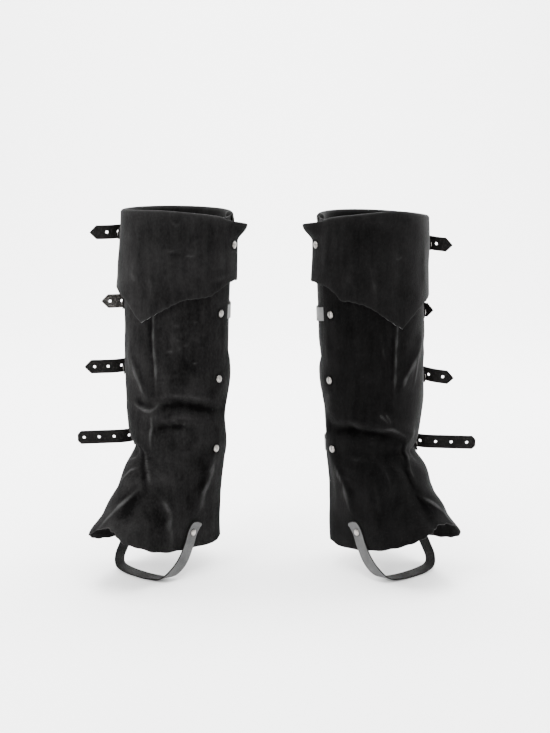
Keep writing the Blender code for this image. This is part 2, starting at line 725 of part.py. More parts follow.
def make_head(name, place, direction, collection, metal):
    """A domed rivet head, turned from its profile, facing out along a direction."""
    profile = (
        # radius share, height share
        (0.0, 1.0), (0.55, 0.86), (0.92, 0.42), (1.0, 0.0), (0.0, 0.0),
    )
    mesh = bpy.data.meshes.new(name)
    shape = bmesh.new()
    points = [shape.verts.new((r * HEAD_RADIUS, 0, h * HEAD_HEIGHT)) for r, h in profile]
    for a, b in zip(points, points[1:]):
        shape.edges.new((a, b))
    shape.to_mesh(mesh)
    shape.free()
    item = link_object(name, mesh, collection, metal)
    turned = item.modifiers.new("turned", "SCREW")
    turned.axis = "Z"
    turned.steps = HEAD_STEPS
    turned.render_steps = HEAD_STEPS
    turned.use_merge_vertices = True
    turned.merge_threshold = 0.00001
    turned.use_smooth_shade = True
    item.rotation_euler = direction.to_track_quat("Z", "Y").to_euler()
    item.location = place


def sheet_side(side, sign, forward, height):
    """How far out the sheet's outer face lies beside a point on its foot, inner side or outer."""
    start, front, *_, fullness = row_at(SECTIONS, height)
    angle = math.degrees(math.acos(((forward - start) / front) ** (fullness / 2))) * sign
    point, _ = outline(side, angle, height, fold_rise(side, angle, height) + SUEDE)
    return abs(point.y)


def stirrup_line(side):
    """The stirrup's band: forward, inward, height and the two shares of its width's direction."""
    rows = []
    for sign, half in ((1, STIRRUP_ROWS), (-1, STIRRUP_ROWS[-2::-1])):
        for forward, height, share, width_forward, width_up in half:
            level = max(height, STIRRUP_HEM)
            ends = [
                sheet_side(side, sign, forward + step * width_forward, level + step * width_up)
                for step in (-STRAP_WIDTH / 2, 0, STRAP_WIDTH / 2)
            ]
            inward = sign * share * (max(ends) + STRAP_REST + STRAP_LOOSE + STRAP_WALL / 2)
            rows.append((forward, inward, height, width_forward, width_up))
    return rows


def make_stirrup(side, collection, material, metal):
    """The stirrup strap under the instep, with a rivet head at each end."""
    bends = stirrup_line(side)
    table = [(float(k), *row) for k, row in enumerate(bends)]
    last = len(bends) - 1

    def station(key):
        forward, inward, height, share, rise = row_at(table, key)
        size = STRAP_WIDTH / 2 / math.hypot(share, rise)
        low = to_world(side, forward - share * size, inward, height - rise * size)
        return low, to_world(side, forward + share * size, inward, height + rise * size)

    rows = [station(last * k / STIRRUP_STEPS) for k in range(STIRRUP_STEPS + 1)]
    name = f"{side}_stirrup"
    item = link_object(name, grid_mesh(name, rows, False), collection, material)
    thicken(item, STRAP_WALL, 0.0)
    for end, key, sign in (("inner", 1, 1), ("outer", last - 1, -1)):
        low, high = station(key)
        before, after = station(key - 0.5), station(key + 0.5)
        heading = sum(after, Vector()) - sum(before, Vector())
        direction = (high - low).cross(heading).normalized()
        away = to_world(side, 0, sign, 0) - to_world(side, 0, 0, 0)
        if direction.dot(away) < 0:
            direction.negate()
        place = (low + high) / 2 + direction * (STRAP_WALL / 2 + 2 * GAP)
        make_head(f"{side}_stirrup_rivet_{end}", place, direction, collection, metal)


def make_edge_rivet(side, number, collection, metal):
    """The rivet head that holds a strap at the inner edge."""
    angle = RIVET_ANGLES[side][number]
    height = STRAPS[side][number][0]
    place, direction = Carrier(side, number).disc_seat(angle, height, HEAD_RADIUS, GAP)
    make_head(f"{side}_rivet_{number + 1}", place, direction, collection, metal)


def make_cover(side, collection, cutters, suede, leather, metal):
    make_shaft(side, collection, suede)
    make_cuff(side, collection, suede)
    for number, row in enumerate(STRAPS[side]):
        seat = BuckleSeat(side, Carrier(side, number), row[6], row[1])
        make_strap(side, number, seat, collection, cutters, leather)
        make_buckle(side, number, seat, collection, metal)
        stack = make_chape(side, number, seat, collection, leather)
        angle = seat.angle + CHAPE_REACH - CHAPE_RIVET_BACK
        place, _ = seat.carrier.leaning(angle, seat.height, CHAPE_WIDTH / 2, stack + GAP)
        _, direction = seat.carrier.disc_seat(angle, seat.height, HEAD_RADIUS, 0.0)
        make_head(f"{side}_chape_rivet_{number + 1}", place, direction, collection, metal)
        make_edge_rivet(side, number, collection, metal)
    make_stirrup(side, collection, leather, metal)


def main():
    for item in list(bpy.data.objects):
        bpy.data.objects.remove(item, do_unlink=True)
    collection = bpy.data.collections.new("boot_covers")
    cutters = bpy.data.collections.new("cutters")
    bpy.context.scene.collection.children.link(collection)
    bpy.context.scene.collection.children.link(cutters)
    suede = new_material("suede", (0.013, 0.012, 0.012), 0.95, 0.0)
    leather = new_material("strap_leather", (0.012, 0.011, 0.010), 0.5, 0.0)
    metal = new_material("nickel", (0.72, 0.70, 0.66), 0.28, 1.0)
    for side in SIDES:
        make_cover(side, collection, cutters, suede, leather, metal)


main()
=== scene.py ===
"""The looks of a pair of suede boot covers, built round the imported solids.

Lengths are metres and +Z is up. Heights count up from the sole's level, and the pair's own zero
height is GRIP_HEIGHT above it. Angles go round the leg in degrees: 0 at the shin, 90 at the inner
side, -90 at the outer side. "left" is the cover on the picture's left.
"""
import math

import bmesh
import bpy
import numpy as np
from mathutils import Matrix, Vector


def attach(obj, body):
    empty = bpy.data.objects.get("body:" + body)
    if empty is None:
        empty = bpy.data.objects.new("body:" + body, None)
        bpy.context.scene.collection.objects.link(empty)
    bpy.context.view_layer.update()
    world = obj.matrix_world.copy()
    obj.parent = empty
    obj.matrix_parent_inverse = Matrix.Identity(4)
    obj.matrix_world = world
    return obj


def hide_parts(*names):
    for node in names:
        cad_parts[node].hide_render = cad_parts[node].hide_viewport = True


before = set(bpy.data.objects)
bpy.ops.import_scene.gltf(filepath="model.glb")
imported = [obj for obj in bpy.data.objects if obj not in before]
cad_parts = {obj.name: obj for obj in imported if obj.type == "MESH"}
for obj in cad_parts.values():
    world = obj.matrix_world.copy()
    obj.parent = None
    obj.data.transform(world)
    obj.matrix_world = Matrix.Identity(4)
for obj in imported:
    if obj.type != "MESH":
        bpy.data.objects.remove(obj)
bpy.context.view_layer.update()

# Where the two covers stand
LEG_OUT = 0.121
TOE_OUT = math.radians(38)
GRIP_HEIGHT = 0.236
FLOOR_BELOW = 0.2545
SIDES = {"left": -1, "right": 1}

# Walls, and the gaps kept between pieces. A strap rests STRAP_REST off the cloth, and STRAP_LOOSE
# more where it has left the lap.
SUEDE = 0.0020
STRAP_WALL = 0.0018
CHAPE_WALL = 0.0012
GAP = 0.0003
STRAP_REST = 0.00035
STRAP_LOOSE = 0.00045
LAP_ROOM = 0.0010

# The leg's rounded form that the cloth takes, a row for each height
SECTIONS = (
    # height, forward, front reach, back reach, inner reach, outer reach, fullness
    (0.000, 0.002, 0.161, 0.058, 0.048, 0.048, 2.5),
    (0.050, 0.002, 0.157, 0.057, 0.048, 0.047, 2.5),
    (0.067, 0.002, 0.129, 0.056, 0.049, 0.048, 2.4),
    (0.093, 0.002, 0.104, 0.054, 0.052, 0.049, 2.2),
    (0.117, 0.001, 0.089, 0.053, 0.055, 0.053, 2.1),
    (0.138, 0.000, 0.066, 0.055, 0.058, 0.055, 2.0),
    (0.155, 0.002, 0.065, 0.057, 0.060, 0.060, 2.0),
    (0.190, 0.003, 0.066, 0.063, 0.061, 0.067, 2.0),
    (0.250, 0.003, 0.066, 0.068, 0.063, 0.069, 2.0),
    (0.311, 0.002, 0.067, 0.068, 0.065, 0.069, 2.0),
    (0.360, 0.000, 0.067, 0.067, 0.067, 0.068, 2.0),
    (0.445, 0.000, 0.068, 0.067, 0.070, 0.068, 2.0),
)

# The largest folds: a ridge or a trough from one point on the sheet to another
ROUND_PER_DEGREE = 0.00115
FOLDS = {
    "left": (
        # angle, height, angle, height, half width, rise
        (16, 0.202, 55, 0.206, 0.009, -0.0050),
        (55, 0.206, 96, 0.190, 0.009, -0.0040),
        (12, 0.228, 90, 0.226, 0.014, 0.0022),
        (12, 0.176, 42, 0.177, 0.008, -0.0030),
        (24, 0.190, 70, 0.186, 0.009, 0.0020),
        (-22, 0.262, 4, 0.221, 0.009, 0.0022),
        (-42, 0.139, -22, 0.137, 0.009, -0.0036),
        (-70, 0.165, -20, 0.158, 0.012, 0.0018),
        (10, 0.104, -36, 0.074, 0.010, 0.0030),
        (28, 0.098, 20, 0.060, 0.009, -0.0030),
        (86, 0.136, 83, 0.060, 0.010, 0.0022),
        (52, 0.074, 68, 0.028, 0.010, 0.0022),
        (104, 0.232, 108, 0.232, 0.014, 0.0016),
        (-145, 0.182, -215, 0.178, 0.010, -0.0034),
        (-140, 0.205, -220, 0.201, 0.012, 0.0018),
        (-150, 0.276, -205, 0.268, 0.012, -0.0026),
    ),
    "right": (
        # angle, height, angle, height, half width, rise
        (30, 0.166, 64, 0.172, 0.009, -0.0050),
        (64, 0.172, 94, 0.171, 0.009, -0.0030),
        (-8, 0.164, 30, 0.183, 0.009, 0.0036),
        (30, 0.190, 88, 0.194, 0.013, 0.0024),
        (-22, 0.282, 3, 0.229, 0.009, 0.0024),
        (26, 0.206, 26, 0.190, 0.008, -0.0030),
        (-48, 0.137, -22, 0.135, 0.010, -0.0044),
        (9, 0.101, -38, 0.072, 0.010, 0.0034),
        (14, 0.120, 12, 0.062, 0.009, -0.0034),
        (90, 0.128, 84, 0.058, 0.010, 0.0022),
        (58, 0.084, 69, 0.036, 0.010, 0.0022),
        (104, 0.230, 108, 0.230, 0.014, 0.0018),
        (-70, 0.270, -70, 0.330, 0.040, -0.0048),
        (-140, 0.176, -212, 0.183, 0.010, -0.0036),
        (-146, 0.201, -222, 0.204, 0.012, 0.0020),
        (-155, 0.266, -210, 0.272, 0.012, -0.0024),
        (125, 0.285, 125, 0.345, 0.030, 0.0040),
        (-235, 0.285, -235, 0.345, 0.030, 0.0040),
    ),
}

# The fine creases of the shaft, each along a line of points on the sheet. Pale above 0 paints a
# highlight along a crease's crest; below 0 it paints a shadow along the crease.
CREASES = {
    "left": (
        # half width, rise, pale, line of (angle, height)
        (0.0026, 0.0014, 1.10, ((15, 0.345), (15, 0.300), (15, 0.282), (17, 0.250), (19, 0.216))),
        (0.0030, -0.0010, -0.80, ((12.5, 0.335), (13, 0.306), (13, 0.282), (14.5, 0.250), (16, 0.222))),
        (0.0034, 0.0016, 1.20, ((-19, 0.264), (-9, 0.240), (-1, 0.226), (5, 0.215))),
        (0.0050, -0.0010, -0.50, ((-12, 0.262), (-2, 0.238), (6, 0.226))),
        (0.0030, 0.0013, 1.10, (
            (-18, 0.203), (-8, 0.199), (1, 0.197), (8, 0.196), (14, 0.200), (20, 0.210),
        )),
        (0.0042, -0.0012, -0.70, ((-14, 0.209), (0, 0.204), (11, 0.204))),
        (0.0028, 0.0013, 1.00, ((11, 0.195), (9, 0.180), (7, 0.160), (6, 0.146))),
        (0.0056, -0.0017, -1.40, ((14, 0.196), (29, 0.204), (44, 0.206), (65, 0.199), (96, 0.190))),
        (0.0040, 0.0010, 0.45, ((18, 0.215), (34, 0.220), (56, 0.217), (84, 0.206))),
        (0.0048, -0.0013, -1.00, ((12, 0.172), (26, 0.178), (44, 0.178), (58, 0.174))),
        (0.0034, 0.0010, 0.30, ((18, 0.186), (46, 0.191), (66, 0.186))),
        (0.0028, -0.0012, -0.90, ((-20, 0.151), (-14, 0.147), (-3, 0.134), (14, 0.118), (22, 0.102))),
        (0.0024, 0.0010, 0.80, ((-10, 0.147), (3, 0.133), (18, 0.120), (28, 0.104))),
        (0.0024, 0.0011, 1.10, ((-24, 0.103), (-16, 0.108), (-7, 0.120), (2, 0.124))),
        (0.0024, 0.0010, 1.00, ((-36, 0.120), (-26, 0.127), (-14, 0.131))),
        (0.0032, 0.0016, 1.30, ((15, 0.104), (10, 0.098), (0, 0.082), (-7, 0.066), (-6, 0.055))),
        (0.0064, -0.0015, -0.90, ((18, 0.099), (14, 0.092), (9, 0.080), (9, 0.064))),
        (0.0034, 0.0010, 0.60, ((-20, 0.098), (-34, 0.086), (-44, 0.070))),
        (0.0034, 0.0012, 0.80, ((35, 0.098), (44, 0.090), (57, 0.072), (67, 0.048), (68, 0.030))),
        (0.0060, -0.0008, -0.40, ((38, 0.084), (50, 0.066), (58, 0.044))),
        (0.0030, 0.0015, 1.25, ((85, 0.141), (84.5, 0.134), (86, 0.108), (82, 0.088), (83, 0.060))),
        (0.0050, -0.0010, -0.50, ((78, 0.132), (80, 0.106), (76, 0.082))),
        (0.0050, 0.0007, 0.35, ((-26, 0.300), (-22, 0.270), (-21, 0.246))),
        (0.0050, 0.0008, 0.25, ((33, 0.318), (36, 0.290), (33, 0.262))),
        (0.0040, 0.0009, 0.30, ((98, 0.306), (99, 0.276), (97, 0.250))),
        (0.0045, 0.0010, 0.30, ((88, 0.222), (94, 0.214), (103, 0.212))),
        (0.0060, 0.0012, 0.30, ((-96, 0.288), (-124, 0.297), (-150, 0.292))),
        (0.0055, -0.0012, -0.40, ((-100, 0.262), (-128, 0.270), (-152, 0.262))),
        (0.0050, 0.0012, 0.35, ((-92, 0.206), (-116, 0.197), (-138, 0.203))),
        (0.0050, -0.0014, -0.50, ((-84, 0.182), (-108, 0.176), (-136, 0.183))),
        (0.0050, 0.0013, 0.40, ((-96, 0.166), (-122, 0.163), (-146, 0.167))),
        (0.0040, 0.0014, 0.60, ((-96, 0.118), (-104, 0.088), (-100, 0.054))),
        (0.0044, 0.0012, 0.55, ((-62, 0.122), (-76, 0.094), (-80, 0.060))),
        (0.0040, 0.0012, 0.55, ((-120, 0.120), (-136, 0.100), (-142, 0.082))),
        (0.0055, 0.0012, 0.30, ((-206, 0.352), (-204, 0.336), (-208, 0.300))),
        (0.0050, 0.0011, 0.40, ((-170, 0.122), (-196, 0.116), (-222, 0.122))),
    ),
    "right": (
        # half width, rise, pale, line of (angle, height)
        (0.0026, 0.0013, 1.00, ((13, 0.335), (14, 0.300), (15, 0.276), (16, 0.238), (16.5, 0.203))),
        (0.0030, -0.0009, -0.60, ((18, 0.320), (18, 0.288), (18.5, 0.250), (19, 0.212))),
        (0.0034, 0.0016, 1.10, ((-20, 0.272), (-7, 0.254), (4, 0.236), (7, 0.221))),
        (0.0028, 0.0010, 0.60, ((-16, 0.268), (-13, 0.244), (-8, 0.222))),
        (0.0028, 0.0013, 0.90, ((35, 0.195), (29, 0.188), (23, 0.181))),
        (0.0024, 0.0011, 0.80, ((28, 0.195), (23, 0.187), (20, 0.179))),
        (0.0036, 0.0013, 0.90, ((40, 0.178), (19, 0.175), (5, 0.166), (-4, 0.158))),
        (0.0060, -0.0018, -1.50, ((94, 0.163), (68, 0.170), (37, 0.170), (22, 0.166), (11, 0.160))),
        (0.0040, 0.0010, 0.40, ((90, 0.178), (66, 0.184), (44, 0.182))),
        (0.0026, 0.0010, 0.80, ((-38, 0.152), (-23, 0.144), (-14, 0.142))),
        (0.0038, -0.0016, -1.20, (
            (4, 0.164), (1, 0.132), (11, 0.122), (11, 0.108), (9, 0.098), (4, 0.072), (6, 0.062),
        )),
        (0.0024, 0.0012, 0.90, ((-1, 0.160), (-5, 0.134), (4, 0.121), (5, 0.107))),
        (0.0032, 0.0016, 1.30, ((10, 0.098), (-3, 0.086), (-16, 0.072), (-19, 0.054))),
        (0.0034, 0.0010, 0.55, ((-30, 0.100), (-40, 0.088), (-52, 0.074))),
        (0.0030, 0.0014, 1.10, ((91.5, 0.134), (90, 0.126), (87, 0.112), (83, 0.094), (83, 0.056))),
        (0.0050, -0.0010, -0.40, ((84, 0.124), (79, 0.102), (77, 0.080))),
        (0.0036, 0.0010, 0.35, ((51, 0.106), (53, 0.090), (57, 0.070))),
        (0.0060, 0.0008, 0.40, ((68, 0.131), (56, 0.134), (44, 0.134))),
        (0.0030, 0.0008, 0.40, ((83, 0.108), (78, 0.106), (72, 0.107))),
        (0.0032, 0.0009, 0.40, ((38, 0.142), (35, 0.118), (37, 0.094))),
        (0.0032, 0.0009, 0.40, ((33, 0.300), (30, 0.276), (27, 0.254))),
        (0.0050, 0.0008, 0.35, ((-40, 0.312), (-43, 0.276), (-36, 0.244))),
        (0.0040, 0.0009, 0.30, ((96, 0.302), (97, 0.276), (96, 0.250))),
        (0.0045, 0.0010, 0.30, ((85, 0.218), (91, 0.211), (98, 0.209))),
        (0.0060, 0.0012, 0.30, ((-98, 0.280), (-126, 0.290), (-152, 0.284))),
        (0.0055, -0.0012, -0.40, ((-98, 0.252), (-126, 0.262), (-154, 0.256))),
        (0.0050, 0.0012, 0.35, ((-90, 0.200), (-118, 0.190), (-140, 0.197))),
        (0.0050, -0.0014, -0.50, ((-86, 0.178), (-110, 0.172), (-138, 0.178))),
        (0.0050, 0.0013, 0.40, ((-94, 0.160), (-122, 0.158), (-146, 0.162))),
        (0.0040, 0.0014, 0.60, ((-98, 0.114), (-106, 0.084), (-100, 0.050))),
        (0.0044, 0.0012, 0.55, ((-64, 0.118), (-78, 0.090), (-82, 0.056))),
        (0.0040, 0.0012, 0.55, ((-122, 0.118), (-138, 0.098), (-144, 0.080))),
        (0.0055, 0.0012, 0.30, ((-206, 0.346), (-202, 0.334), (-206, 0.296))),
        (0.0050, 0.0011, 0.40, ((-172, 0.120), (-198, 0.114), (-224, 0.120))),
    ),
}
# The cuff's fine creases, laid out alike: pale above 0 paints a highlight on the crest, below 0 a
# shadow along the crease.
CUFF_CREASES = {
    "left": (
        # half width, rise, pale, line of (angle, height)
        (0.0018, 0.0006, 0.60, ((28, 0.3990), (33, 0.3995), (38, 0.4000))),
        (0.0018, 0.0006, 0.55, ((46, 0.3945), (51, 0.3925), (57, 0.3940))),
        (0.0024, -0.0007, -0.40, ((30, 0.3945), (40, 0.3950), (50, 0.3890))),
        (0.0024, -0.0006, -0.35, ((35, 0.4395), (39, 0.4330), (43, 0.4390))),
        (0.0022, 0.0006, 0.40, ((33, 0.4375), (39, 0.4295), (45, 0.4370))),
        (0.0060, 0.0008, 0.45, ((-5, 0.388), (-8, 0.370), (0, 0.354))),
        (0.0050, 0.0008, 0.40, ((13, 0.390), (12, 0.366), (15, 0.338))),
        (0.0060, 0.0007, 0.35, ((-34, 0.420), (-36, 0.394), (-32, 0.362))),
        (0.0055, 0.0007, 0.20, ((64, 0.420), (66, 0.394), (62, 0.366))),
        (0.0050, 0.0008, 0.25, ((82, 0.416), (84, 0.392), (86, 0.368))),
        (0.0040, 0.0007, 0.45, ((76, 0.362), (86, 0.3635), (98, 0.367))),
        (0.0060, 0.0009, 0.30, ((-128, 0.400), (-130, 0.384), (-126, 0.364))),
        (0.0060, 0.0008, 0.25, ((-176, 0.396), (-172, 0.382), (-178, 0.362))),
        (0.0060, 0.0008, 0.25, ((-212, 0.396), (-214, 0.380), (-210, 0.362))),
    ),
    "right": (
        # half width, rise, pale, line of (angle, height)
        (0.0018, 0.0006, 0.60, ((11, 0.3915), (14, 0.3895), (18, 0.3905))),
        (0.0060, 0.0008, 0.35, ((61, 0.390), (63, 0.364), (65, 0.344))),
        (0.0060, 0.0008, 0.45, ((41, 0.384), (38, 0.356), (37, 0.332))),
        (0.0050, 0.0008, 0.35, ((-24, 0.410), (-20, 0.380), (-22, 0.350))),
        (0.0050, 0.0007, 0.30, ((20, 0.422), (19, 0.392), (14, 0.340))),
        (0.0055, 0.0007, 0.20, ((76, 0.420), (77, 0.394), (75, 0.366))),
        (0.0050, 0.0008, 0.25, ((88, 0.414), (89, 0.390), (90, 0.368))),
        (0.0024, -0.0006, -0.30, ((2, 0.4390), (7, 0.4330), (12, 0.4395))),
        (0.0060, 0.0009, 0.30, ((-124, 0.388), (-126, 0.374), (-122, 0.358))),
        (0.0060, 0.0008, 0.25, ((-172, 0.392), (-170, 0.378), (-175, 0.360))),
        (0.0060, 0.0008, 0.25, ((-214, 0.394), (-216, 0.380), (-211, 0.362))),
    ),
}

# Small rubbed places where the nap is worn pale
RUBS = {
    "left": (
        # angle, height, half width round, half height, how pale
        (60, 0.3100, 0.0020, 0.0012, 0.9), (39, 0.3060, 0.0040, 0.0016, 0.7),
        (33, 0.2740, 0.0036, 0.0018, 0.9), (42, 0.2780, 0.0024, 0.0020, 0.8),
        (50, 0.2820, 0.0026, 0.0014, 0.8), (60, 0.2580, 0.0034, 0.0012, 1.0),
        (41, 0.2880, 0.0022, 0.0014, 0.7), (49, 0.1820, 0.0013, 0.0011, 1.6),
        (20, 0.2520, 0.0060, 0.0080, 0.3), (47, 0.2960, 0.0050, 0.0030, 0.35),
        (-24, 0.2860, 0.0070, 0.0120, 0.3), (60, 0.2880, 0.0080, 0.0040, 0.25),
        (30, 0.2420, 0.0140, 0.0030, 0.25), (44, 0.1420, 0.0160, 0.0040, 0.2),
    ),
    "right": (
        # angle, height, half width round, half height, how pale
        (80, 0.2760, 0.0018, 0.0014, 0.7), (52, 0.2700, 0.0030, 0.0012, 0.5),
        (1, 0.2820, 0.0024, 0.0016, 0.8), (38, 0.2350, 0.0020, 0.0012, 0.6),
        (-26, 0.2600, 0.0050, 0.0080, 0.4), (-34, 0.2940, 0.0060, 0.0100, 0.35),
        (60, 0.2860, 0.0080, 0.0040, 0.25), (57, 0.1320, 0.0120, 0.0030, 0.15),
        (24, 0.2960, 0.0050, 0.0160, 0.3), (70, 0.1180, 0.0030, 0.0020, 0.5),
    ),
}

# The shaft sheet. Its inner edge bulges and dips as this table says, and the grid's columns follow
# it from INNER_EDGE_FREE degrees on. Its other end, the lap, is tucked under the inner edge.
INNER_EDGE = {
    "left": (
        # height, angle
        (0.000, 106), (0.060, 106), (0.100, 110), (0.143, 118), (0.186, 108), (0.234, 122),
        (0.276, 107), (0.317, 106), (0.450, 106),
    ),
    "right": (
        # height, angle
        (0.000, 103), (0.060, 108), (0.100, 109), (0.143, 107), (0.188, 105), (0.234, 123),
        (0.274, 104), (0.317, 101), (0.450, 101),
    ),
}
INNER_EDGE_FREE = 60
LAP_END = -274
LAP_FULL = -235
LAP_NONE = -180
LAP_SINK = SUEDE + STRAP_WALL + LAP_ROOM
SHAFT_BACK_COLUMNS = 66
SHAFT_FRONT_COLUMNS = 148
SHAFT_FRONT_START = -96
SHAFT_FINE_ROWS = 186
HEM_FREE_ABOVE = 0.250
HEM_BASE = 0.020
HEM_RIPPLE = 0.0005
TOP_BASE = 0.440
HEM_AT_BACK = (
    # angle, height
    (-274, 0.096), (-185, 0.094), (-160, 0.082), (-135, 0.052), (-112, 0.024), (-90, 0.018),
    (-70, 0.022),
)
HEM = {
    "left": HEM_AT_BACK + (
        (-45, 0.034), (-30, 0.045), (-15, 0.0525), (0, 0.0600), (15, 0.0570), (23, 0.0530),
        (33, 0.0450), (44, 0.0380), (58, 0.0260), (72, 0.0195), (86, 0.0140), (94, 0.0120),
        (106, 0.0180),
    ),
    "right": HEM_AT_BACK + (
        (-45, 0.036), (-30, 0.048), (-18, 0.0590), (0, 0.0630), (15, 0.0585), (23, 0.0560),
        (33, 0.0515), (44, 0.0430), (58, 0.0310), (72, 0.0190), (86, 0.0100), (94, 0.0110),
        (106, 0.0150),
    ),
}
TOP_EDGE = {
    "left": (
        # angle, height
        (-274, 0.436), (-180, 0.436), (-62, 0.439), (13, 0.4435), (42, 0.4420), (84, 0.4350),
        (112, 0.425),
    ),
    "right": (
        # angle, height
        (-274, 0.433), (-180, 0.433), (-62, 0.431), (13, 0.4425), (29, 0.4420), (66, 0.437),
        (86, 0.4330), (112, 0.4245),
    ),
}

# The cuff: how far its inner face stands off the leg's form at its top and its lower edge, and the
# roll over the shaft's top edge, whose end is turned in
CUFF_BACK_END = -236
CUFF_INNER_END = 112
CUFF_HIGH = 0.435
CUFF_LOW = 0.345
CUFF_FINE_COLUMNS = 190
CUFF_FINE_ROWS = 52
CUFF_RIPPLE = 0.0004
CUFF_ROLL_ROWS = 9
CUFF_ROLL_RADIUS = 0.0024
CUFF_TURNED_IN = 0.007
CUFF_TURNED_IN_GAP = 0.0006
CUFF_STAND_OFF = {
    "left": (
        # angle, at the top, at the lower edge
        (-250, 0.0030, 0.0060), (-180, 0.0030, 0.0080), (-90, 0.0030, 0.0112),
        (-45, 0.0030, 0.0108), (0, 0.0030, 0.0080), (45, 0.0030, 0.0060), (90, 0.0050, 0.0068),
        (118, 0.0078, 0.0084),
    ),
    "right": (
        # angle, at the top, at the lower edge
        (-250, 0.0030, 0.0060), (-180, 0.0030, 0.0064), (-90, 0.0030, 0.0066),
        (-45, 0.0030, 0.0070), (0, 0.0030, 0.0074), (45, 0.0030, 0.0060), (90, 0.0050, 0.0068),
        (118, 0.0078, 0.0084),
    ),
}
CUFF_EDGE = {
    "left": (
        # angle, height
        (-236, 0.3560), (-180, 0.3560), (-120, 0.3540), (-75, 0.3510), (-37, 0.3447),
        (-19, 0.3357), (-12, 0.3290), (0, 0.3140), (4.5, 0.3100), (12, 0.3155), (22, 0.3230),
        (36, 0.3330), (46, 0.3390), (58, 0.3400), (72, 0.3415), (88, 0.3520), (103, 0.3575),
        (118, 0.3560),
    ),
    "right": (
        # angle, height
        (-236, 0.3560), (-180, 0.3560), (-120, 0.3540), (-75, 0.3480), (-40, 0.3380),
        (-17, 0.3298), (-9, 0.3250), (4, 0.3110), (11, 0.3025), (18, 0.3074), (31, 0.3190),
        (39, 0.3267), (48, 0.3325), (63, 0.3365), (71, 0.3356), (78, 0.3450), (88, 0.3520),
        (103, 0.3545), (118, 0.3560),
    ),
}

# The stitches that hold the turned-in edge: between which angles, and how far below the top edge
STITCHED = (-228, 86)
STITCH_BELOW = 0.0045
STITCH_PITCH = 0.0040
STITCH_LENGTH = 0.0032
STITCH_WANDER = 0.0002
THREAD_RADIUS = 0.00035

# The ear at the cuff's inner top corner stands out and points on round the leg. It fades below the
# top edge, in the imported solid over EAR_BELOW and in the finer cuff here over EAR_FINE_BELOW. Where
# it stands, the roll's rows lie flat on each other, these two steps apart.
EAR_START = 92
EAR_BELOW = 0.015
EAR_FINE_BELOW = 0.019
EAR_OUT = 0.0105
EAR_ROUND = 5.0
EAR_STEP_IN = 0.00003
EAR_STEP_UP = 0.00002

# Straps, counted down from the cuff. Each starts under the inner edge and goes round the back to
# its buckle, in turns that run on past 180 degrees. It leaves the cloth STRAP_LEAVES degrees before
# the buckle. One strap's black side is painted lighter and speckled pale: a painted sheen of light
# on it.
STRAP_WIDTH = 0.018
STRAP_START = 78
STRAP_STATIONS = 24
STRAP_LEAVES = 17
STRAP_CLEAR = 0.001
STRAP_FINE_STEP = 0.0026
BUCKLE_TURN = 275
DENSE_STEPS = 12
BAND_CORNER = 0.00035
BAND_SHARP = 32
HOLE_RADIUS = 0.0019
HOLE_COUNT = 5
SHEEN_PAINTED_STRAP = ("left", 1)
TIP_HALF = 0.0006
TIP_CLEAR = 0.0006
TIP_ROUND = 0.0004
POINT_LENGTH = 0.0085
BLUNT_LENGTH = 0.0045
BLUNT_HALF = 0.0045
STRAPS = {
    "left": (
        # height: rivet, buckle, tip; tail length, first hole, hole pitch, buckle angle, blunt tip
        (0.402, 0.4110, 0.4105, 0.042, 0.0220, 0.0150, -85, False),
        (0.317, 0.3215, 0.3220, 0.032, 0.0110, 0.0155, -85, False),
        (0.234, 0.2360, 0.2350, 0.056, 0.0130, 0.0177, -86, False),
        (0.143, 0.1420, 0.1390, 0.078, 0.0085, 0.0199, -88, True),
    ),
    "right": (
        # height: rivet, buckle, tip; tail length, first hole, hole pitch, buckle angle, blunt tip
        (0.402, 0.3970, 0.3940, 0.034, 0.0210, 0.0230, -85, False),
        (0.316, 0.3105, 0.3105, 0.014, 0.0240, 0.0180, -82, False),
        (0.231, 0.2250, 0.2200, 0.042, 0.0145, 0.0188, -86, False),
        (0.141, 0.1350, 0.1325, 0.084, 0.0115, 0.0206, -88, True),
    ),
}
STRAP_DIPS = (0.0, 0.0050, 0.0, 0.0)
RIVET_ANGLES = {"left": (104, 92.4, 90.0, 86.5), "right": (104, 89.5, 94.0, 90.0)}

# Buckles: a wire frame with a prong, held by a short looped chape that reaches CHAPE_REACH degrees
# on from the buckle towards the shin
FRAME_HALF_LENGTH = 0.010
FRAME_HALF_HEIGHT = 0.0118
FRAME_CORNER = 0.0030
FRAME_LIFT = 0.0050
WIRE_RADIUS = 0.0015
WIRE_FACETS = 12
WIRE_SHARP = 50
PRONG_RADIUS = 0.0010
CHAPE_WIDTH = 0.014
CHAPE_REACH = 27
CHAPE_RIVET_BACK = 4

# The free tails: how steeply they leave the buckle, how steeply they end, and over what length
TAIL_RISE = math.radians(19)
TAIL_TURN = math.radians(54)
TAIL_BEND = 0.030
TAIL_STEP = 0.006

# Rivet heads, each turned from a profile, and how far the cloth is pressed round them
HEAD_RADIUS = 0.0042
HEAD_HEIGHT = 0.0016
HEAD_STEPS = 32
HEAD_PROFILE = (
    # radius share, height share
    (0.22, 0.985), (0.42, 0.93), (0.60, 0.82), (0.74, 0.66), (0.83, 0.48), (0.88, 0.36),
    (0.93, 0.34), (0.98, 0.26), (1.0, 0.06), (1.2, 0.04), (1.2, -0.06), (0.5, -0.06),
)
# Bands of the head in the dark finish: the groove inside the rolled rim, partly tarnish and partly
# painted shade, and the flange round the foot, a painted shadow round the head.
HEAD_DARK_BANDS = (4, 5, 8, 9, 10)
RING_OUTER = 0.0085
RING_DEEP = 0.0006

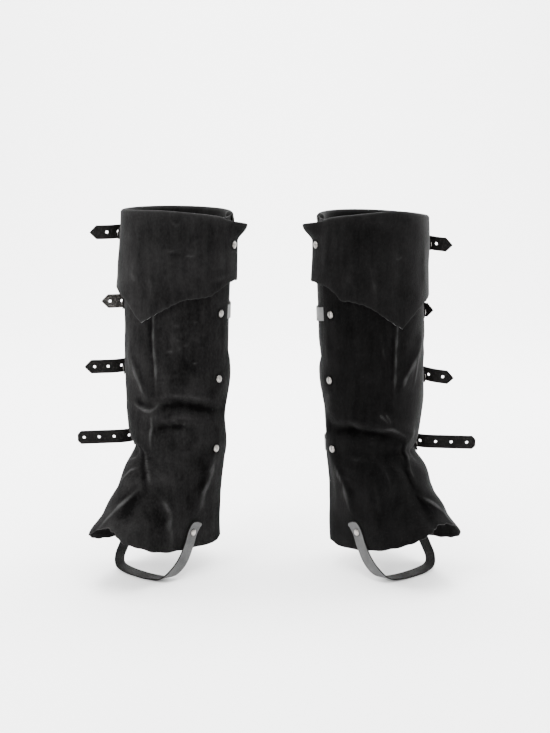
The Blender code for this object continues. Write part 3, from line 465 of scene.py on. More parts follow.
# The stirrup strap, from its rivet down and under the instep, a row for each bend
STIRRUP_ROWS = (
    # forward, height, share of the way out to the sheet, width's forward share, upward share
    (0.031, 0.0500, 1.00, 0.90, 0.44),
    (0.040, 0.0380, 1.00, 0.88, 0.47),
    (0.048, 0.0220, 1.00, 0.86, 0.51),
    (0.060, 0.0060, 1.01, 0.82, 0.57),
    (0.072, -0.0060, 0.96, 0.86, 0.40),
    (0.080, -0.0140, 0.78, 0.97, 0.12),
    (0.084, -0.0162, 0.40, 1.00, 0.00),
    (0.085, -0.0164, 0.00, 1.00, 0.00),
)
STIRRUP_HEM = 0.022
STIRRUP_FINE_STEPS = 110
STIRRUP_CORNER = 0.0045
STIRRUP_HOOK = 0.0022
STIRRUP_HOOK_LENGTH = 0.0070

# The camera, placed as the photograph's was
CAMERA_PLACE = (0.0, -1.70, 0.374)
CAMERA_DOWN = math.radians(12.26)
PICTURE_HEIGHT = 733
FOCAL_PIXELS = 1350
SENSOR_HEIGHT = 24

# The studio's lamps, its even light and its floor
LAMPS = (
    # name, place, aimed at, width and height, watts
    ("key", (-1.7, -1.5, 1.5), (0, 0, 0), (0.9, 0.7), 60),
    ("top", (0, 0.1, 2.6), (0, 0, 0), (2.0, 2.0), 210),
    ("left_back", (-1.7, 0.6, 0.7), (0, 0, 0), (1.2, 1.4), 29),
    ("right_back", (1.7, 0.6, 0.7), (0, 0, 0), (1.2, 1.4), 45),
    ("backdrop", (0, 0.9, 1.9), (0, 1.9, 0.4), (2.4, 0.8), 110),
)
STUDIO_STRENGTH = 1.75
FLOOR_TONE = 0.93
CURVE_START = 1.6
CURVE_RADIUS = 0.8

# The suedes: the tones of the deepest and the lightest nap, the tone of rubbed places and painted
# crest highlights, then sheen and gloss
SUEDES = {
    # The four black suedes are one cloth in lit and shaded copies, each cover and cuff with tones and
    # sheen set to the light it gets; the right cover's are painted darker for its shade.
    "black_suede_left": (0.0007, 0.0180, 0.036, 0.010, 0.04),
    "black_suede_left_cuff": (0.0010, 0.0155, 0.034, 0.036, 0.05),
    "black_suede_right": (0.0003, 0.0062, 0.034, 0.085, 0.02),
    "black_suede_right_cuff": (0.0005, 0.0085, 0.030, 0.100, 0.03),
    # The raw edge is lighter, partly its cut's grey fibres and partly a painted highlight where the
    # edge catches the light.
    "suede_raw_edge": (0.0250, 0.0750, 0.0800, 0.08, 0.08),
    "suede_hem_edge": (0.0060, 0.0300, 0.0300, 0.04, 0.06),
    # The reverse is painted darker than the face: a painted shade on the inside of the covers.
    "suede_reverse_painted_shade": (0.0005, 0.0060, 0.0200, 0.015, 0.04),
}


class Value:
    """A shader socket that takes part in sums written as plain Python."""

    def __init__(self, finish, socket):
        self.finish = finish
        self.socket = socket

    def sum(self, operation, first, second=0.0):
        return self.finish.node("Math", {"operation": operation}, {0: first, 1: second})

    def __add__(self, other):
        return self.sum("ADD", self, other)

    def __radd__(self, other):
        return self.sum("ADD", other, self)

    def __sub__(self, other):
        return self.sum("SUBTRACT", self, other)

    def __rsub__(self, other):
        return self.sum("SUBTRACT", other, self)

    def __mul__(self, other):
        return self.sum("MULTIPLY", self, other)

    def __rmul__(self, other):
        return self.sum("MULTIPLY", other, self)

    def over(self, other):
        """The larger of this and another value."""
        return self.sum("MAXIMUM", self, other)

    def under(self, other):
        """The smaller of this and another value."""
        return self.sum("MINIMUM", self, other)


class Finish:
    """A material in the making, with one method for every node."""

    def __init__(self, name, settings):
        self.material = bpy.data.materials.new(name)
        self.material.use_nodes = True
        self.tree = self.material.node_tree
        self.shader = self.tree.nodes["Principled BSDF"]
        for key, value in settings.items():
            self.shader.inputs[key].default_value = value

    def node(self, kind, settings=None, sockets=None, output=0):
        node = self.tree.nodes.new(f"ShaderNode{kind}")
        for key, value in (settings or {}).items():
            if key == "stops":
                ramp = node.color_ramp.elements
                while len(ramp) < len(value):
                    ramp.new(0.5)
                for stop, (place, colour) in zip(ramp, value):
                    stop.position = place
                    stop.color = colour
            else:
                setattr(node, key, value)
        for key, value in (sockets or {}).items():
            self.join(node.inputs[key], value)
        return Value(self, node.outputs[output])

    def join(self, socket, value):
        if isinstance(value, Value):
            self.tree.links.new(value.socket, socket)
        else:
            socket.default_value = value

    def place(self, stretch=(1, 1, 1)):
        """The surface's own place in metres, stretched along the axes."""
        place = self.node("TexCoord", output="Object")
        return self.node("VectorMath", {"operation": "MULTIPLY"}, {0: place, 1: stretch})

    def noise(self, scale, detail, stretch=(1, 1, 1)):
        sockets = {"Vector": self.place(stretch), "Scale": scale, "Detail": detail}
        return self.node("TexNoise", None, sockets)

    def blend(self, share, low, high):
        """A colour between two others."""
        settings = {"data_type": "RGBA", "clamp_factor": True}
        return self.node("Mix", settings, {0: share, 6: low, 7: high}, output=2)

    def wear(self, colour=None, roughness=None, height=None, bump=0.5, depth=0.001):
        """Joins what varies over the surface to the shader."""
        if colour is not None:
            self.join(self.shader.inputs["Base Color"], colour)
        if roughness is not None:
            self.join(self.shader.inputs["Roughness"], roughness)
        if height is not None:
            sockets = {"Height": height, "Strength": bump, "Distance": depth}
            self.join(self.shader.inputs["Normal"], self.node("Bump", None, sockets))
        return self.material


def grey(value, warmth=0.0):
    return (value * (1 + warmth), value, value * (1 - warmth), 1.0)


def suede_finish(name, dark, light, worn, sheen, gloss):
    """Napped black cloth: brushed streaks, cloudy patches, fine fibres, rubbed places, and painted
    crease highlights and shade.
    """
    finish = Finish(name, {
        "Sheen Weight": sheen, "Sheen Roughness": 0.42, "Sheen Tint": grey(0.62),
        "Specular IOR Level": gloss,
    })
    cloud = finish.noise(26, 3.0)
    brushed = finish.noise(120, 3.0, (1, 1, 0.18))
    nap = finish.noise(420, 3.0, (1, 1, 0.6))
    fibre = finish.noise(2400, 2.0)
    rub = finish.node("Attribute", {"attribute_name": "rub"}, output="Fac")
    tone = (cloud - 0.5) * 0.9 + (brushed - 0.5) * 0.55 + (nap - 0.5) * 0.5 + (fibre - 0.5) * 0.3
    speck = ((finish.noise(900, 1.0) - 0.70).over(0.0) * 5.0).under(0.5)
    shade = 0.26 + tone * 0.8 + rub.over(-0.8).under(0.6) * 0.4 + speck * 0.3
    nap_colour = finish.blend(shade.over(0.0), grey(dark, 0.02), grey(light, 0.01))
    # The strongest painted crest highlights and rubbed places blend towards the rubbed tone.
    wear_and_highlight_share = ((rub - 0.5) * (0.50 + (nap - 0.5) * 0.6)).over(0.0).under(0.8)
    return finish.wear(
        finish.blend(wear_and_highlight_share, nap_colour, grey(worn)),
        0.96 - (nap - 0.5) * 0.2, fibre * 0.5 + nap * 0.9 + brushed * 0.8, 0.45, 0.0006,
    )


def grained_finish(name, light):
    """The straps' black good side: fine pebbled grain with a satin skin."""
    finish = Finish(name, {"Specular IOR Level": 0.05})
    pebble = finish.node("TexVoronoi", None, {"Vector": finish.place(), "Scale": 1100.0})
    pores = finish.noise(2600, 2.0)
    worn = finish.noise(60, 3.0)
    scuffed = ((finish.noise(750, 2.0) - 0.52).over(0.0) * 5.0).under(1.0)
    colour = finish.blend(
        (worn - 0.35) * 0.3 + pores * 0.1 + scuffed * 0.8, grey(0.0004, 0.04), grey(light, 0.06))
    return finish.wear(
        colour, 0.50 + (worn - 0.5) * 0.25 + pebble * 0.18, pebble * 0.8 + pores * 0.4, 0.45, 0.0005,
    )


def reverse_finish(name, dark, light):
    """The straps' grey reverse: matted fibres, a little cloudy."""
    finish = Finish(
        name, {"Sheen Weight": 0.12, "Sheen Roughness": 0.5, "Specular IOR Level": 0.25})
    felt = finish.noise(1500, 3.0)
    cloud = finish.noise(70, 3.0)
    share = (felt - 0.5) * 2.0 + (cloud - 0.5) * 1.3 + 0.5
    return finish.wear(
        finish.blend(share, grey(dark), grey(light)), 0.86 + (felt - 0.5) * 0.2,
        felt + cloud * 0.3, 0.4, 0.0004,
    )


def nickel_finish(name, dark, light):
    """Nickel plate, slightly dulled, with soft handling marks."""
    finish = Finish(name, {"Metallic": 1.0})
    dull = finish.noise(900, 3.0)
    marks = finish.noise(240, 3.0, (1, 1, 0.3))
    colour = finish.blend(dull, grey(dark, 0.07), grey(light, 0.05))
    return finish.wear(colour, 0.20 + marks * 0.22, marks, 0.12, 0.0002)


def thread_finish(name):
    """Black sewing thread with the small sheen of its twist."""
    finish = Finish(name, {"Specular IOR Level": 0.3})
    twist = finish.noise(3000, 2.0)
    return finish.wear(finish.blend(twist, grey(0.004), grey(0.020)), 0.6 + twist * 0.2)


def plain_finish(name, colour, roughness):
    settings = {"Base Color": colour, "Roughness": roughness, "Specular IOR Level": 0.2}
    return Finish(name, settings).material


def curve_shares(t):
    """The shares that a smooth curve takes at t of its start, its end and its slope at each."""
    return (
        2 * t ** 3 - 3 * t ** 2 + 1, 3 * t ** 2 - 2 * t ** 3,
        t ** 3 - 2 * t ** 2 + t, t ** 3 - t ** 2,
    )


def smooth_table(table, keys):
    """The smooth values of a table's columns at keys, which its first column holds."""
    rows = np.array(table, float)
    at = rows[:, 0]
    keys = np.clip(np.asarray(keys, float), at[0], at[-1])
    low = np.clip(np.searchsorted(at, keys, side="right") - 1, 0, len(at) - 2)
    before = np.maximum(low - 1, 0)
    after = np.minimum(low + 2, len(at) - 1)
    span = at[low + 1] - at[low]
    of_start, of_end, of_slope_in, of_slope_out = curve_shares((keys - at[low]) / span)
    columns = []
    for column in rows.T[1:]:
        start, end = column[low], column[low + 1]
        slope_in = (end - column[before]) / (at[low + 1] - at[before]) * span
        slope_out = (column[after] - start) / (at[after] - at[low]) * span
        columns.append(
            of_start * start + of_slope_in * slope_in + of_end * end + of_slope_out * slope_out)
    return columns


def straight_table(table, keys):
    """The values of a table's second column at keys, along straight lines with sharp corners."""
    rows = np.array(table, float)
    return np.interp(keys, rows[:, 0], rows[:, 1])


def ease(value):
    """A smooth step from 0 to 1."""
    value = np.clip(value, 0.0, 1.0)
    return value * value * (3 - 2 * value)


def fold_rise(side, angle, height):
    """How far the large folds lift the sheet, outward."""
    rise = np.zeros(np.broadcast(angle, height).shape)
    for angle_a, height_a, angle_b, height_b, half_width, lift in FOLDS[side]:
        along = ((angle_b - angle_a) * ROUND_PER_DEGREE, height_b - height_a)
        offset = ((angle - angle_a) * ROUND_PER_DEGREE, height - height_a)
        length = max(along[0] ** 2 + along[1] ** 2, 1e-9)
        share = np.clip((offset[0] * along[0] + offset[1] * along[1]) / length, 0.0, 1.0)
        gap = (offset[0] - share * along[0]) ** 2 + (offset[1] - share * along[1]) ** 2
        rise = rise + lift * np.exp(-gap / half_width ** 2)
    return rise


def crease_rise(creases, angle, height):
    """The fine creases' rise, and the highlight painted on their crests and the shade painted in their
    troughs, over a sheet's points.
    """
    rise = np.zeros(angle.shape)
    painted_crease_light = np.zeros(angle.shape)
    for half_width, lift, shade, line in creases:
        points = [(a * ROUND_PER_DEGREE, h) for a, h in line]
        lengths = [math.dist(a, b) for a, b in zip(points, points[1:])]
        total = sum(lengths)
        near = np.full(angle.shape, 1.0)
        along = np.zeros(angle.shape)
        done = 0.0
        for (start, end), length in zip(zip(points, points[1:]), lengths):
            run = ((end[0] - start[0]) / length, (end[1] - start[1]) / length)
            offset = (angle * ROUND_PER_DEGREE - start[0], height - start[1])
            share = np.clip(offset[0] * run[0] + offset[1] * run[1], 0.0, length)
            gap = np.hypot(offset[0] - share * run[0], offset[1] - share * run[1])
            closer = gap < near
            near = np.where(closer, gap, near)
            along = np.where(closer, done + share, along)
            done += length
        fade = ease(along / (0.3 * total)) * ease((total - along) / (0.3 * total))
        strength = (0.18 + 0.82 * fade) * (1 + 0.22 * np.sin(along * 260 + 900 * lift))
        crest = np.exp(-(near / half_width) ** 1.5) * strength
        rise += lift * crest
        gain, spread = (1.35, 0.62) if shade > 0 else (0.80, 1.0)
        painted_crease_light += gain * shade * np.exp(-(near / (spread * half_width)) ** 2) * strength
    return rise, painted_crease_light


def unevenness(angle, height, seed):
    """The slow waviness of soft cloth: crossing swells of several widths."""
    rise = 0.0
    for wave, (round_rate, up_rate, size) in enumerate((
        # waves per metre round, waves per metre up, size
        (9, 5, 0.00032), (-6, 11, 0.00026), (17, 8, 0.00018), (-14, 21, 0.00014),
        (26, -9, 0.00010), (7, 33, 0.00009), (38, 14, 0.00006),
    )):
        turn = angle * ROUND_PER_DEGREE * round_rate + height * up_rate
        rise = rise + size * np.sin(2 * math.pi * turn + seed * 1.7 + wave * 2.1)
    return rise


def clear_of_straps(straps, angle, height, inner_angle, fade):
    """1 on free cloth and 0 under the straps and buckles, where creases are pressed flat."""
    clear = np.ones(angle.shape)
    for rivet, buckle, *_ in straps:
        turn = np.where(angle < 0, angle + 360, angle)
        share = np.clip((turn - STRAP_START) / (BUCKLE_TURN - STRAP_START), 0.0, 1.0)
        gap = np.abs(height - (rivet + (buckle - rivet) * share))
        clear = clear * ease((gap - STRAP_WIDTH / 2 - STRAP_CLEAR) / fade)
    behind = ease((-52 - angle) / 6) + ease((angle - inner_angle) / 5)
    return 1 - (1 - clear) * np.clip(behind, 0, 1)


def pressed_round(rivets, angle, height):
    """How much a point lies in the pressed ring round a rivet, from 0 to 1; the ring is dented and
    painted with shade.
    """
    ring = np.zeros(angle.shape)
    for rivet_angle, rivet_height in rivets:
        gap = np.hypot((angle - rivet_angle) * ROUND_PER_DEGREE, height - rivet_height)
        ring = np.maximum(ring, ease((RING_OUTER - gap) / (RING_OUTER - HEAD_RADIUS)))
    return ring


def lap_sink(angle):
    """How far the sheet's outer end sinks to pass under the straps and the inner edge."""
    return -LAP_SINK * ease((LAP_NONE - angle) / (LAP_NONE - LAP_FULL))


def outline(angle, height, out):
    """Points moved out from the leg's form: forward, inward, and the way out's share of each."""
    forward, front, back, inner, outer, fullness = smooth_table(SECTIONS, height)
    turn = np.radians(angle)
    cosine, sine = np.cos(turn), np.sin(turn)
    reach = np.where(cosine > 0, front, back)
    width = np.where(sine > 0, inner, outer)
    power = 2 / fullness
    along = reach * np.sign(cosine) * np.abs(cosine) ** power
    across = width * np.sign(sine) * np.abs(sine) ** power
    normal_along = np.sign(cosine) * np.abs(along / reach) ** (fullness - 1) / reach
    normal_across = np.sign(sine) * np.abs(across / width) ** (fullness - 1) / width
    length = np.hypot(normal_along, normal_across)
    normal_along, normal_across = normal_along / length, normal_across / length
    forward, inward = forward + along + normal_along * out, across + normal_across * out
    return forward, inward, normal_along, normal_across


def to_world(side, forward, inward, height):
    """From a cover's own forward, inward and height to the pair's frame."""
    sign = SIDES[side]
    return np.stack(np.broadcast_arrays(
        sign * (LEG_OUT + math.sin(TOE_OUT) * forward - math.cos(TOE_OUT) * inward),
        -math.cos(TOE_OUT) * forward - math.sin(TOE_OUT) * inward,
        height - GRIP_HEIGHT,
    ), axis=-1)


def level_direction(side, forward, inward):
    """A level direction of the cover's own, in the pair's frame."""
    start, end = to_world(side, 0, 0, 0), to_world(side, forward, inward, 0)
    return (Vector(end) - Vector(start)).normalized()


def sheet_points(side, angle, height, out):
    """Points on the shaft sheet's inner face, or moved out from it."""
    lift = fold_rise(side, angle, height) + lap_sink(angle)
    forward, inward, *_ = outline(angle, height, lift + out)
    return to_world(side, forward, inward, height)


def sheet_point(side, angle, height, out):
    return Vector(sheet_points(side, angle, height, out))


def outward(side, angle, height):
    """The level direction straight out of the sheet."""
    *_, along, across = outline(angle, height, 0.0)
    return level_direction(side, along, across)


def cuff_ear(side, angle, height, below=EAR_BELOW):
    """How far a point of the cuff belongs to its ear, from 0 to 1."""
    top = smooth_table(TOP_EDGE[side], angle)[0]
    across = ease((angle - EAR_START) / (CUFF_INNER_END - EAR_START))
    return across * ease(1 - (top - height) / below)


def cuff_stand_off(side, angle, height, below=EAR_BELOW):
    """How far the cuff's inner face stands off the shaft's inner face."""
    top, low = smooth_table(CUFF_STAND_OFF[side], angle)
    share = np.clip((CUFF_HIGH - height) / (CUFF_HIGH - CUFF_LOW), 0.0, 1.0)
    return top + share * (low - top) + EAR_OUT * cuff_ear(side, angle, height, below)


def put_in_scene(name, data):
    item = bpy.data.objects.new(name, data)
    bpy.context.scene.collection.objects.link(item)
    return item


def new_piece(name, mesh, materials, slot, *nodes):
    """A piece that rides on the pair, stands for its nodes and takes the given materials; the slot is
    not used.
    """
    piece = put_in_scene(name, mesh)
    for material in materials:
        mesh.materials.append(material)
    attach(piece, "root")
    if nodes:
        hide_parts(*nodes)
    return piece


def grid_mesh(name, points, flip, rub=None):
    """An open surface through rows of points, each painted lighter for wear and painted highlights,
    below 0 darker with painted shade.
    """
    rows, columns = points.shape[:2]
    index = np.arange(rows * columns).reshape(rows, columns)
    corners = [index[:-1, :-1], index[:-1, 1:], index[1:, 1:], index[1:, :-1]]
    if flip:
        corners.reverse()
    faces = np.stack(corners, axis=-1).reshape(-1, 4)
    mesh = bpy.data.meshes.new(name)
    mesh.from_pydata(points.reshape(-1, 3).tolist(), [], faces.tolist())
    if rub is not None:
        layer = mesh.attributes.new("rub", "FLOAT", "POINT")
        layer.data.foreach_set("value", rub.reshape(-1).astype(np.float32))
    mesh.shade_smooth()
    return mesh


def finished_mesh(name, shape, sharp_angle=180):
    """A smooth mesh from its shape, with edges kept sharp beyond an angle in degrees."""
    mesh = bpy.data.meshes.new(name)
    shape.to_mesh(mesh)
    shape.free()
    mesh.shade_smooth()
    if sharp_angle < 180:
        mesh.set_sharp_from_angle(angle=math.radians(sharp_angle))
    return mesh


def lofted_mesh(name, rings, sharp_angle, closed=False, reverse=()):
    """A mesh over rings of points, capped unless it is closed, with its reverse's faces marked."""
    shape = bmesh.new()
    rings = [[shape.verts.new(point) for point in ring] for ring in rings]
    count = len(rings[0])
    pairs = list(zip(rings, rings[1:])) + ([(rings[-1], rings[0])] if closed else [])
    for low, high in pairs:
        for i in range(count):
            j = (i + 1) % count
            face = shape.faces.new((low[i], low[j], high[j], high[i]))
            face.material_index = int(i in reverse)
    if not closed:
        for ring in (rings[0], rings[-1]):
            shape.faces.new(ring)
    bmesh.ops.recalc_face_normals(shape, faces=shape.faces)
    return finished_mesh(name, shape, sharp_angle)


def thicken(piece, wall):
    """A wall on a sheet, with a reverse and a cut edge in their own materials."""
    solid = piece.modifiers.new("wall", "SOLIDIFY")
    solid.thickness = wall
    solid.offset = 1.0
    solid.use_even_offset = True
    solid.material_offset = 2
    solid.material_offset_rim = 1
    soft = piece.modifiers.new("soft_edge", "BEVEL")
    soft.width = wall * 0.22
    soft.segments = 2
    soft.limit_method = "ANGLE"
    soft.angle_limit = math.radians(60)
    soft.harden_normals = False


def dress_shaft(side, finishes):
    """The shaft sheet with its folds, creases, rubbed places and cut edge."""
    end = INNER_EDGE[side][-1][1]
    angles = np.concatenate([
        np.linspace(LAP_END, SHAFT_FRONT_START, SHAFT_BACK_COLUMNS, endpoint=False),
        np.linspace(SHAFT_FRONT_START, end, SHAFT_FRONT_COLUMNS),
    ])
    levels = np.linspace(HEM_BASE, TOP_BASE, SHAFT_FINE_ROWS)
    angle, level = np.meshgrid(angles, levels)
    hem = smooth_table(HEM[side], angle)[0]
    hem = hem + HEM_RIPPLE * np.sin(angle * 0.55) * ease((angle + 150) / 20)
    top = smooth_table(TOP_EDGE[side], angle)[0]
    share = np.clip(1 - (level - HEM_BASE) / (HEM_FREE_ABOVE - HEM_BASE), 0.0, 1.0)
    height = level + (hem - HEM_BASE) * share
    rise = np.clip((level - HEM_FREE_ABOVE) / (TOP_BASE - HEM_FREE_ABOVE), 0.0, 1.0)
    height = height + (top - TOP_BASE) * rise
    edge = smooth_table(INNER_EDGE[side], height)[0]
    angle = angle + (edge - end) * ease((angle - INNER_EDGE_FREE) / (end - INNER_EDGE_FREE))
    # The creases lift the sheet, paint highlights on their crests and paint shadows in their troughs.
    creases, painted_crease_light = crease_rise(CREASES[side], angle, height)
    below_cuff = ease((CUFF_LOW - height) / 0.03)
    hidden = ease((angle + 205) / 12)
    shown = clear_of_straps(STRAPS[side][1:], angle, height, 84, 0.010) * hidden
    rivets = [(a, row[0]) for a, row in zip(RIVET_ANGLES[side][1:], STRAPS[side][1:])]
    ring = pressed_round(rivets, angle, height)
    lift = (creases + unevenness(angle, height, SIDES[side])) * shown * (0.2 + 0.8 * below_cuff)
    lift = lift * (1 - ring) - RING_DEEP * ring * (1 - ring) * 4
    # The pressed ring round each rivet is painted with shade.
    rub = painted_crease_light * shown * (1 - ring) - 0.6 * ring
    for rub_angle, rub_height, half_round, half_up, strength in RUBS[side]:
        gap = ((angle - rub_angle) * ROUND_PER_DEGREE / half_round) ** 2
        rub = rub + strength * np.exp(-gap - ((height - rub_height) / half_up) ** 2)
    rub = rub + 0.35 * np.exp(-((height - hem) / 0.0035)) + 0.30 * np.exp((angle - edge) / 2.2)
    name = f"{side}_shaft_cloth"
    mesh = grid_mesh(name, sheet_points(side, angle, height, lift), SIDES[side] > 0, rub)
    piece = new_piece(name, mesh, finishes[f"{side}_shaft"], "suede", f"{side}_shaft")
    thicken(piece, SUEDE)


def dress_cuff(side, finishes):
    """The turned-down cuff: it rolls over the shaft's top edge and hangs to its pointed edge."""
    point_angle = min(CUFF_EDGE[side], key=lambda row: row[1])[0]
    angles = np.linspace(CUFF_BACK_END, CUFF_INNER_END, CUFF_FINE_COLUMNS)
    angles[np.argmin(np.abs(angles - point_angle))] = point_angle
    angle, share = np.meshgrid(angles, np.linspace(0.0, 1.0, CUFF_FINE_ROWS))
    top = smooth_table(TOP_EDGE[side], angle)[0]
    low = straight_table(CUFF_EDGE[side], angle) + CUFF_RIPPLE * np.sin(angle * 0.9 + 1)
    height = low + share * (top - low)
    # The creases lift the cuff, paint highlights on their crests and paint shadows in their troughs.
    creases, painted_crease_light = crease_rise(CUFF_CREASES[side], angle, height)
    clear = clear_of_straps(STRAPS[side][:1], angle, height, 92, 0.008)
    lift = (creases + unevenness(angle, height, 3 + SIDES[side])) * clear
    lift = lift * ease((CUFF_INNER_END - angle) / 8) * ease((top - height) / 0.006)
    ring = pressed_round([(RIVET_ANGLES[side][0], STRAPS[side][0][0])], angle, height)
    stand = cuff_stand_off(side, angle, height, EAR_FINE_BELOW) + lift
    turned = angle + EAR_ROUND * cuff_ear(side, angle, height, EAR_FINE_BELOW)
    points = sheet_points(side, turned, height, stand)
    # The cuff is painted lighter along its lower edge, a painted highlight where the edge catches the
    # light, and lighter towards its top.
    rub = painted_crease_light + 0.90 * np.exp(-((height - low) / 0.0022))
    rub = rub + 0.35 * np.exp(-((top - height) / 0.004))
    # The pressed ring round the rivet is painted with shade.
    rub = rub * (1 - ring) - 0.6 * ring

    outer_stand = stand[-1]
    inner_stand = np.full(outer_stand.shape, -SUEDE - CUFF_TURNED_IN_GAP)
    middle = (outer_stand + inner_stand) / 2
    half = (outer_stand - inner_stand) / 2
    radius = np.minimum(half, CUFF_ROLL_RADIUS)
    flat = ease((angle[-1] - EAR_START + 4) / 8) + ease((CUFF_BACK_END + 6 - angle[-1]) / 6)
    flat = np.clip(flat, 0, 1)
    rolled = []
    for step in range(1, CUFF_ROLL_ROWS + 4):
        swing = min(1.0, step / CUFF_ROLL_ROWS) * math.pi
        down = max(0, step - CUFF_ROLL_ROWS) / 3 * CUFF_TURNED_IN
        off = middle + half * math.cos(swing)
        level = height[-1] + radius * math.sin(swing) - down
        off = off * (1 - flat) + flat * (outer_stand - EAR_STEP_IN * step)
        level = level * (1 - flat) + flat * (height[-1] + EAR_STEP_UP * step)
        rolled.append(sheet_points(side, turned[-1], level, off))
    points = np.concatenate([points, np.stack(rolled)])
    rub = np.concatenate([rub, np.repeat(rub[-1:] * 0.6, len(rolled), axis=0)])
    name = f"{side}_cuff_cloth"
    mesh = grid_mesh(name, points, SIDES[side] > 0, rub)
    piece = new_piece(name, mesh, finishes[f"{side}_cuff"], "suede", f"{side}_cuff")
    thicken(piece, SUEDE)


def stitch_cuff(side, thread):
    """The stitches that hold the cuff's turned-in edge inside the top of the shaft."""
    shape = bmesh.new()
    start, end = STITCHED
    count = int((end - start) * ROUND_PER_DEGREE / STITCH_PITCH)
    turn = STITCH_LENGTH / ROUND_PER_DEGREE / 2
    out = -SUEDE - CUFF_TURNED_IN_GAP
    for k in range(count):
        angle = start + (end - start) * k / count
        height = float(smooth_table(TOP_EDGE[side], angle)[0]) - STITCH_BELOW
        height += STITCH_WANDER * math.sin(k * 1.9)
        ends = [sheet_point(side, angle + a, height, out) for a in (-turn, turn)]
        middle, run = (ends[0] + ends[1]) / 2, (ends[1] - ends[0]) / 2
        away = outward(side, angle, height)
        frame_of = Matrix((run, away * THREAD_RADIUS, Vector((0, 0, THREAD_RADIUS)))).transposed()
        place = Matrix.Translation(middle) @ frame_of.to_4x4()
        bmesh.ops.create_icosphere(shape, subdivisions=2, radius=1.0, matrix=place)
    name = f"{side}_cuff_stitches"
    new_piece(name, finished_mesh(name, shape), [thread], "suede")


class Carrier:
    """What a strap and its buckle lie on: the cuff for the first strap, the shaft for the rest."""

    def __init__(self, side, number):
        self.side = side
        self.on_cuff = number == 0

    def skin(self, angle, height):
        """A point on the carrier's outer face."""
        stand_off = cuff_stand_off(self.side, angle, height) if self.on_cuff else 0.0
        return sheet_point(self.side, angle, height, stand_off + SUEDE)

    def over(self, angle, height, reach, out):
        """A point out from the carrier, clear of it from a reach below the height to one above."""
        base = self.skin(angle, height)
        normal = outward(self.side, angle, height)
        levels = (height - reach, height - reach / 2, height + reach / 2, height + reach)
        lift = max(0.0, *((self.skin(angle, level) - base).dot(normal) for level in levels))
        return base + normal * (lift + out)

    def disc_seat(self, angle, height, radius, out):
        """A flat disc's place on the carrier, clear of it all round, and the way the disc faces."""
        turn = radius / ROUND_PER_DEGREE
        base = self.skin(angle, height)
        before, after = self.skin(angle - turn, height), self.skin(angle + turn, height)
        low, high = self.skin(angle, height - radius), self.skin(angle, height + radius)
        direction = (after - before).cross(high - low).normalized()
        if direction.dot(outward(self.side, angle, height)) < 0:
            direction.negate()
        lift = max(0.0, *((rim - base).dot(direction) for rim in (before, after, low, high)))
        return base + direction * (lift + out), direction

    def leaning(self, angle, height, reach, out):
        """A band that leans as the carrier does and clears its outer face by a distance."""
        low, high = self.skin(angle, height - reach), self.skin(angle, height + reach)
        normal = outward(self.side, angle, height)
        bulge = 0.0
        for share in (0.25, 0.5, 0.75):
            between = self.skin(angle, height + reach * (2 * share - 1)) - low.lerp(high, share)
            bulge = max(bulge, between.dot(normal))
        return (low + high) / 2 + normal * (bulge + out), (high - low).normalized() * reach

    def strap_line(self, turn, height):
        """The strap's middle and its upward half width, at a turn that runs on past 180 degrees."""
        reach = STRAP_WIDTH / 2
        behind = turn - 360
        loose = STRAP_LOOSE * float(ease((behind - LAP_FULL) / (LAP_NONE - LAP_FULL)))
        middle, up = self.leaning(behind, height, reach, STRAP_WALL / 2 + STRAP_REST + loose)
        if self.on_cuff:
            room = -STRAP_WALL / 2 - 2 * STRAP_REST
            low, high = (
                sheet_point(self.side, turn, level, cuff_stand_off(self.side, turn, level) + room)
                for level in (height - reach, height + reach)
            )
            share = float(ease((turn - CUFF_INNER_END) / (CUFF_BACK_END + 360 - CUFF_INNER_END)))
            middle = ((low + high) / 2).lerp(middle, share)
            up = (high - low).normalized().lerp(up.normalized(), share).normalized() * reach
        return middle, up


class BuckleSeat:
    """The buckle's own frame: along the strap, out from the leg, and up."""

    def __init__(self, side, carrier, angle, height):
        self.carrier = carrier
        self.angle = angle
        self.height = height
        self.origin = carrier.over(angle, height, FRAME_HALF_HEIGHT, 0.0)
        self.out = outward(side, angle, height)
        ahead = sheet_point(side, angle + 2, height, 0) - sheet_point(side, angle - 2, height, 0)
        self.along = (ahead - self.out * ahead.dot(self.out)).normalized()

    def place(self, along, out, up=0.0):
        return self.origin + self.along * along + self.out * out + Vector((0, 0, up))


def smooth_band(stations, step):
    """Even steps along a smooth band through stations, each a middle and an upward half width."""
    dense = []
    for i in range(len(stations) - 1):
        before = stations[max(i - 1, 0)]
        after = stations[min(i + 2, len(stations) - 1)]
        start, end = stations[i], stations[i + 1]
        for k in range(DENSE_STEPS):
            of_start, of_end, of_slope_in, of_slope_out = curve_shares(k / DENSE_STEPS)
            dense.append(tuple(
                start[j] * of_start + end[j] * of_end
                + (end[j] - before[j]) * 0.5 * of_slope_in
                + (after[j] - start[j]) * 0.5 * of_slope_out
                for j in (0, 1)
            ))
    dense.append(stations[-1])
    lengths = band_lengths(dense)
    count = max(2, round(lengths[-1] / step))
    return [band_at(dense, lengths, lengths[-1] * i / count) for i in range(count + 1)]


def band_lengths(band):
    lengths = [0.0]
    for a, b in zip(band, band[1:]):
        lengths.append(lengths[-1] + (b[0] - a[0]).length)
    return lengths


def band_at(band, lengths, distance):
    """The band's middle and half width at a distance along it."""
    k = max(i for i in range(len(lengths) - 1) if lengths[i] <= distance or i == 0)
    share = (distance - lengths[k]) / max(lengths[k + 1] - lengths[k], 1e-9)
    return tuple(band[k][j].lerp(band[k + 1][j], share) for j in (0, 1))


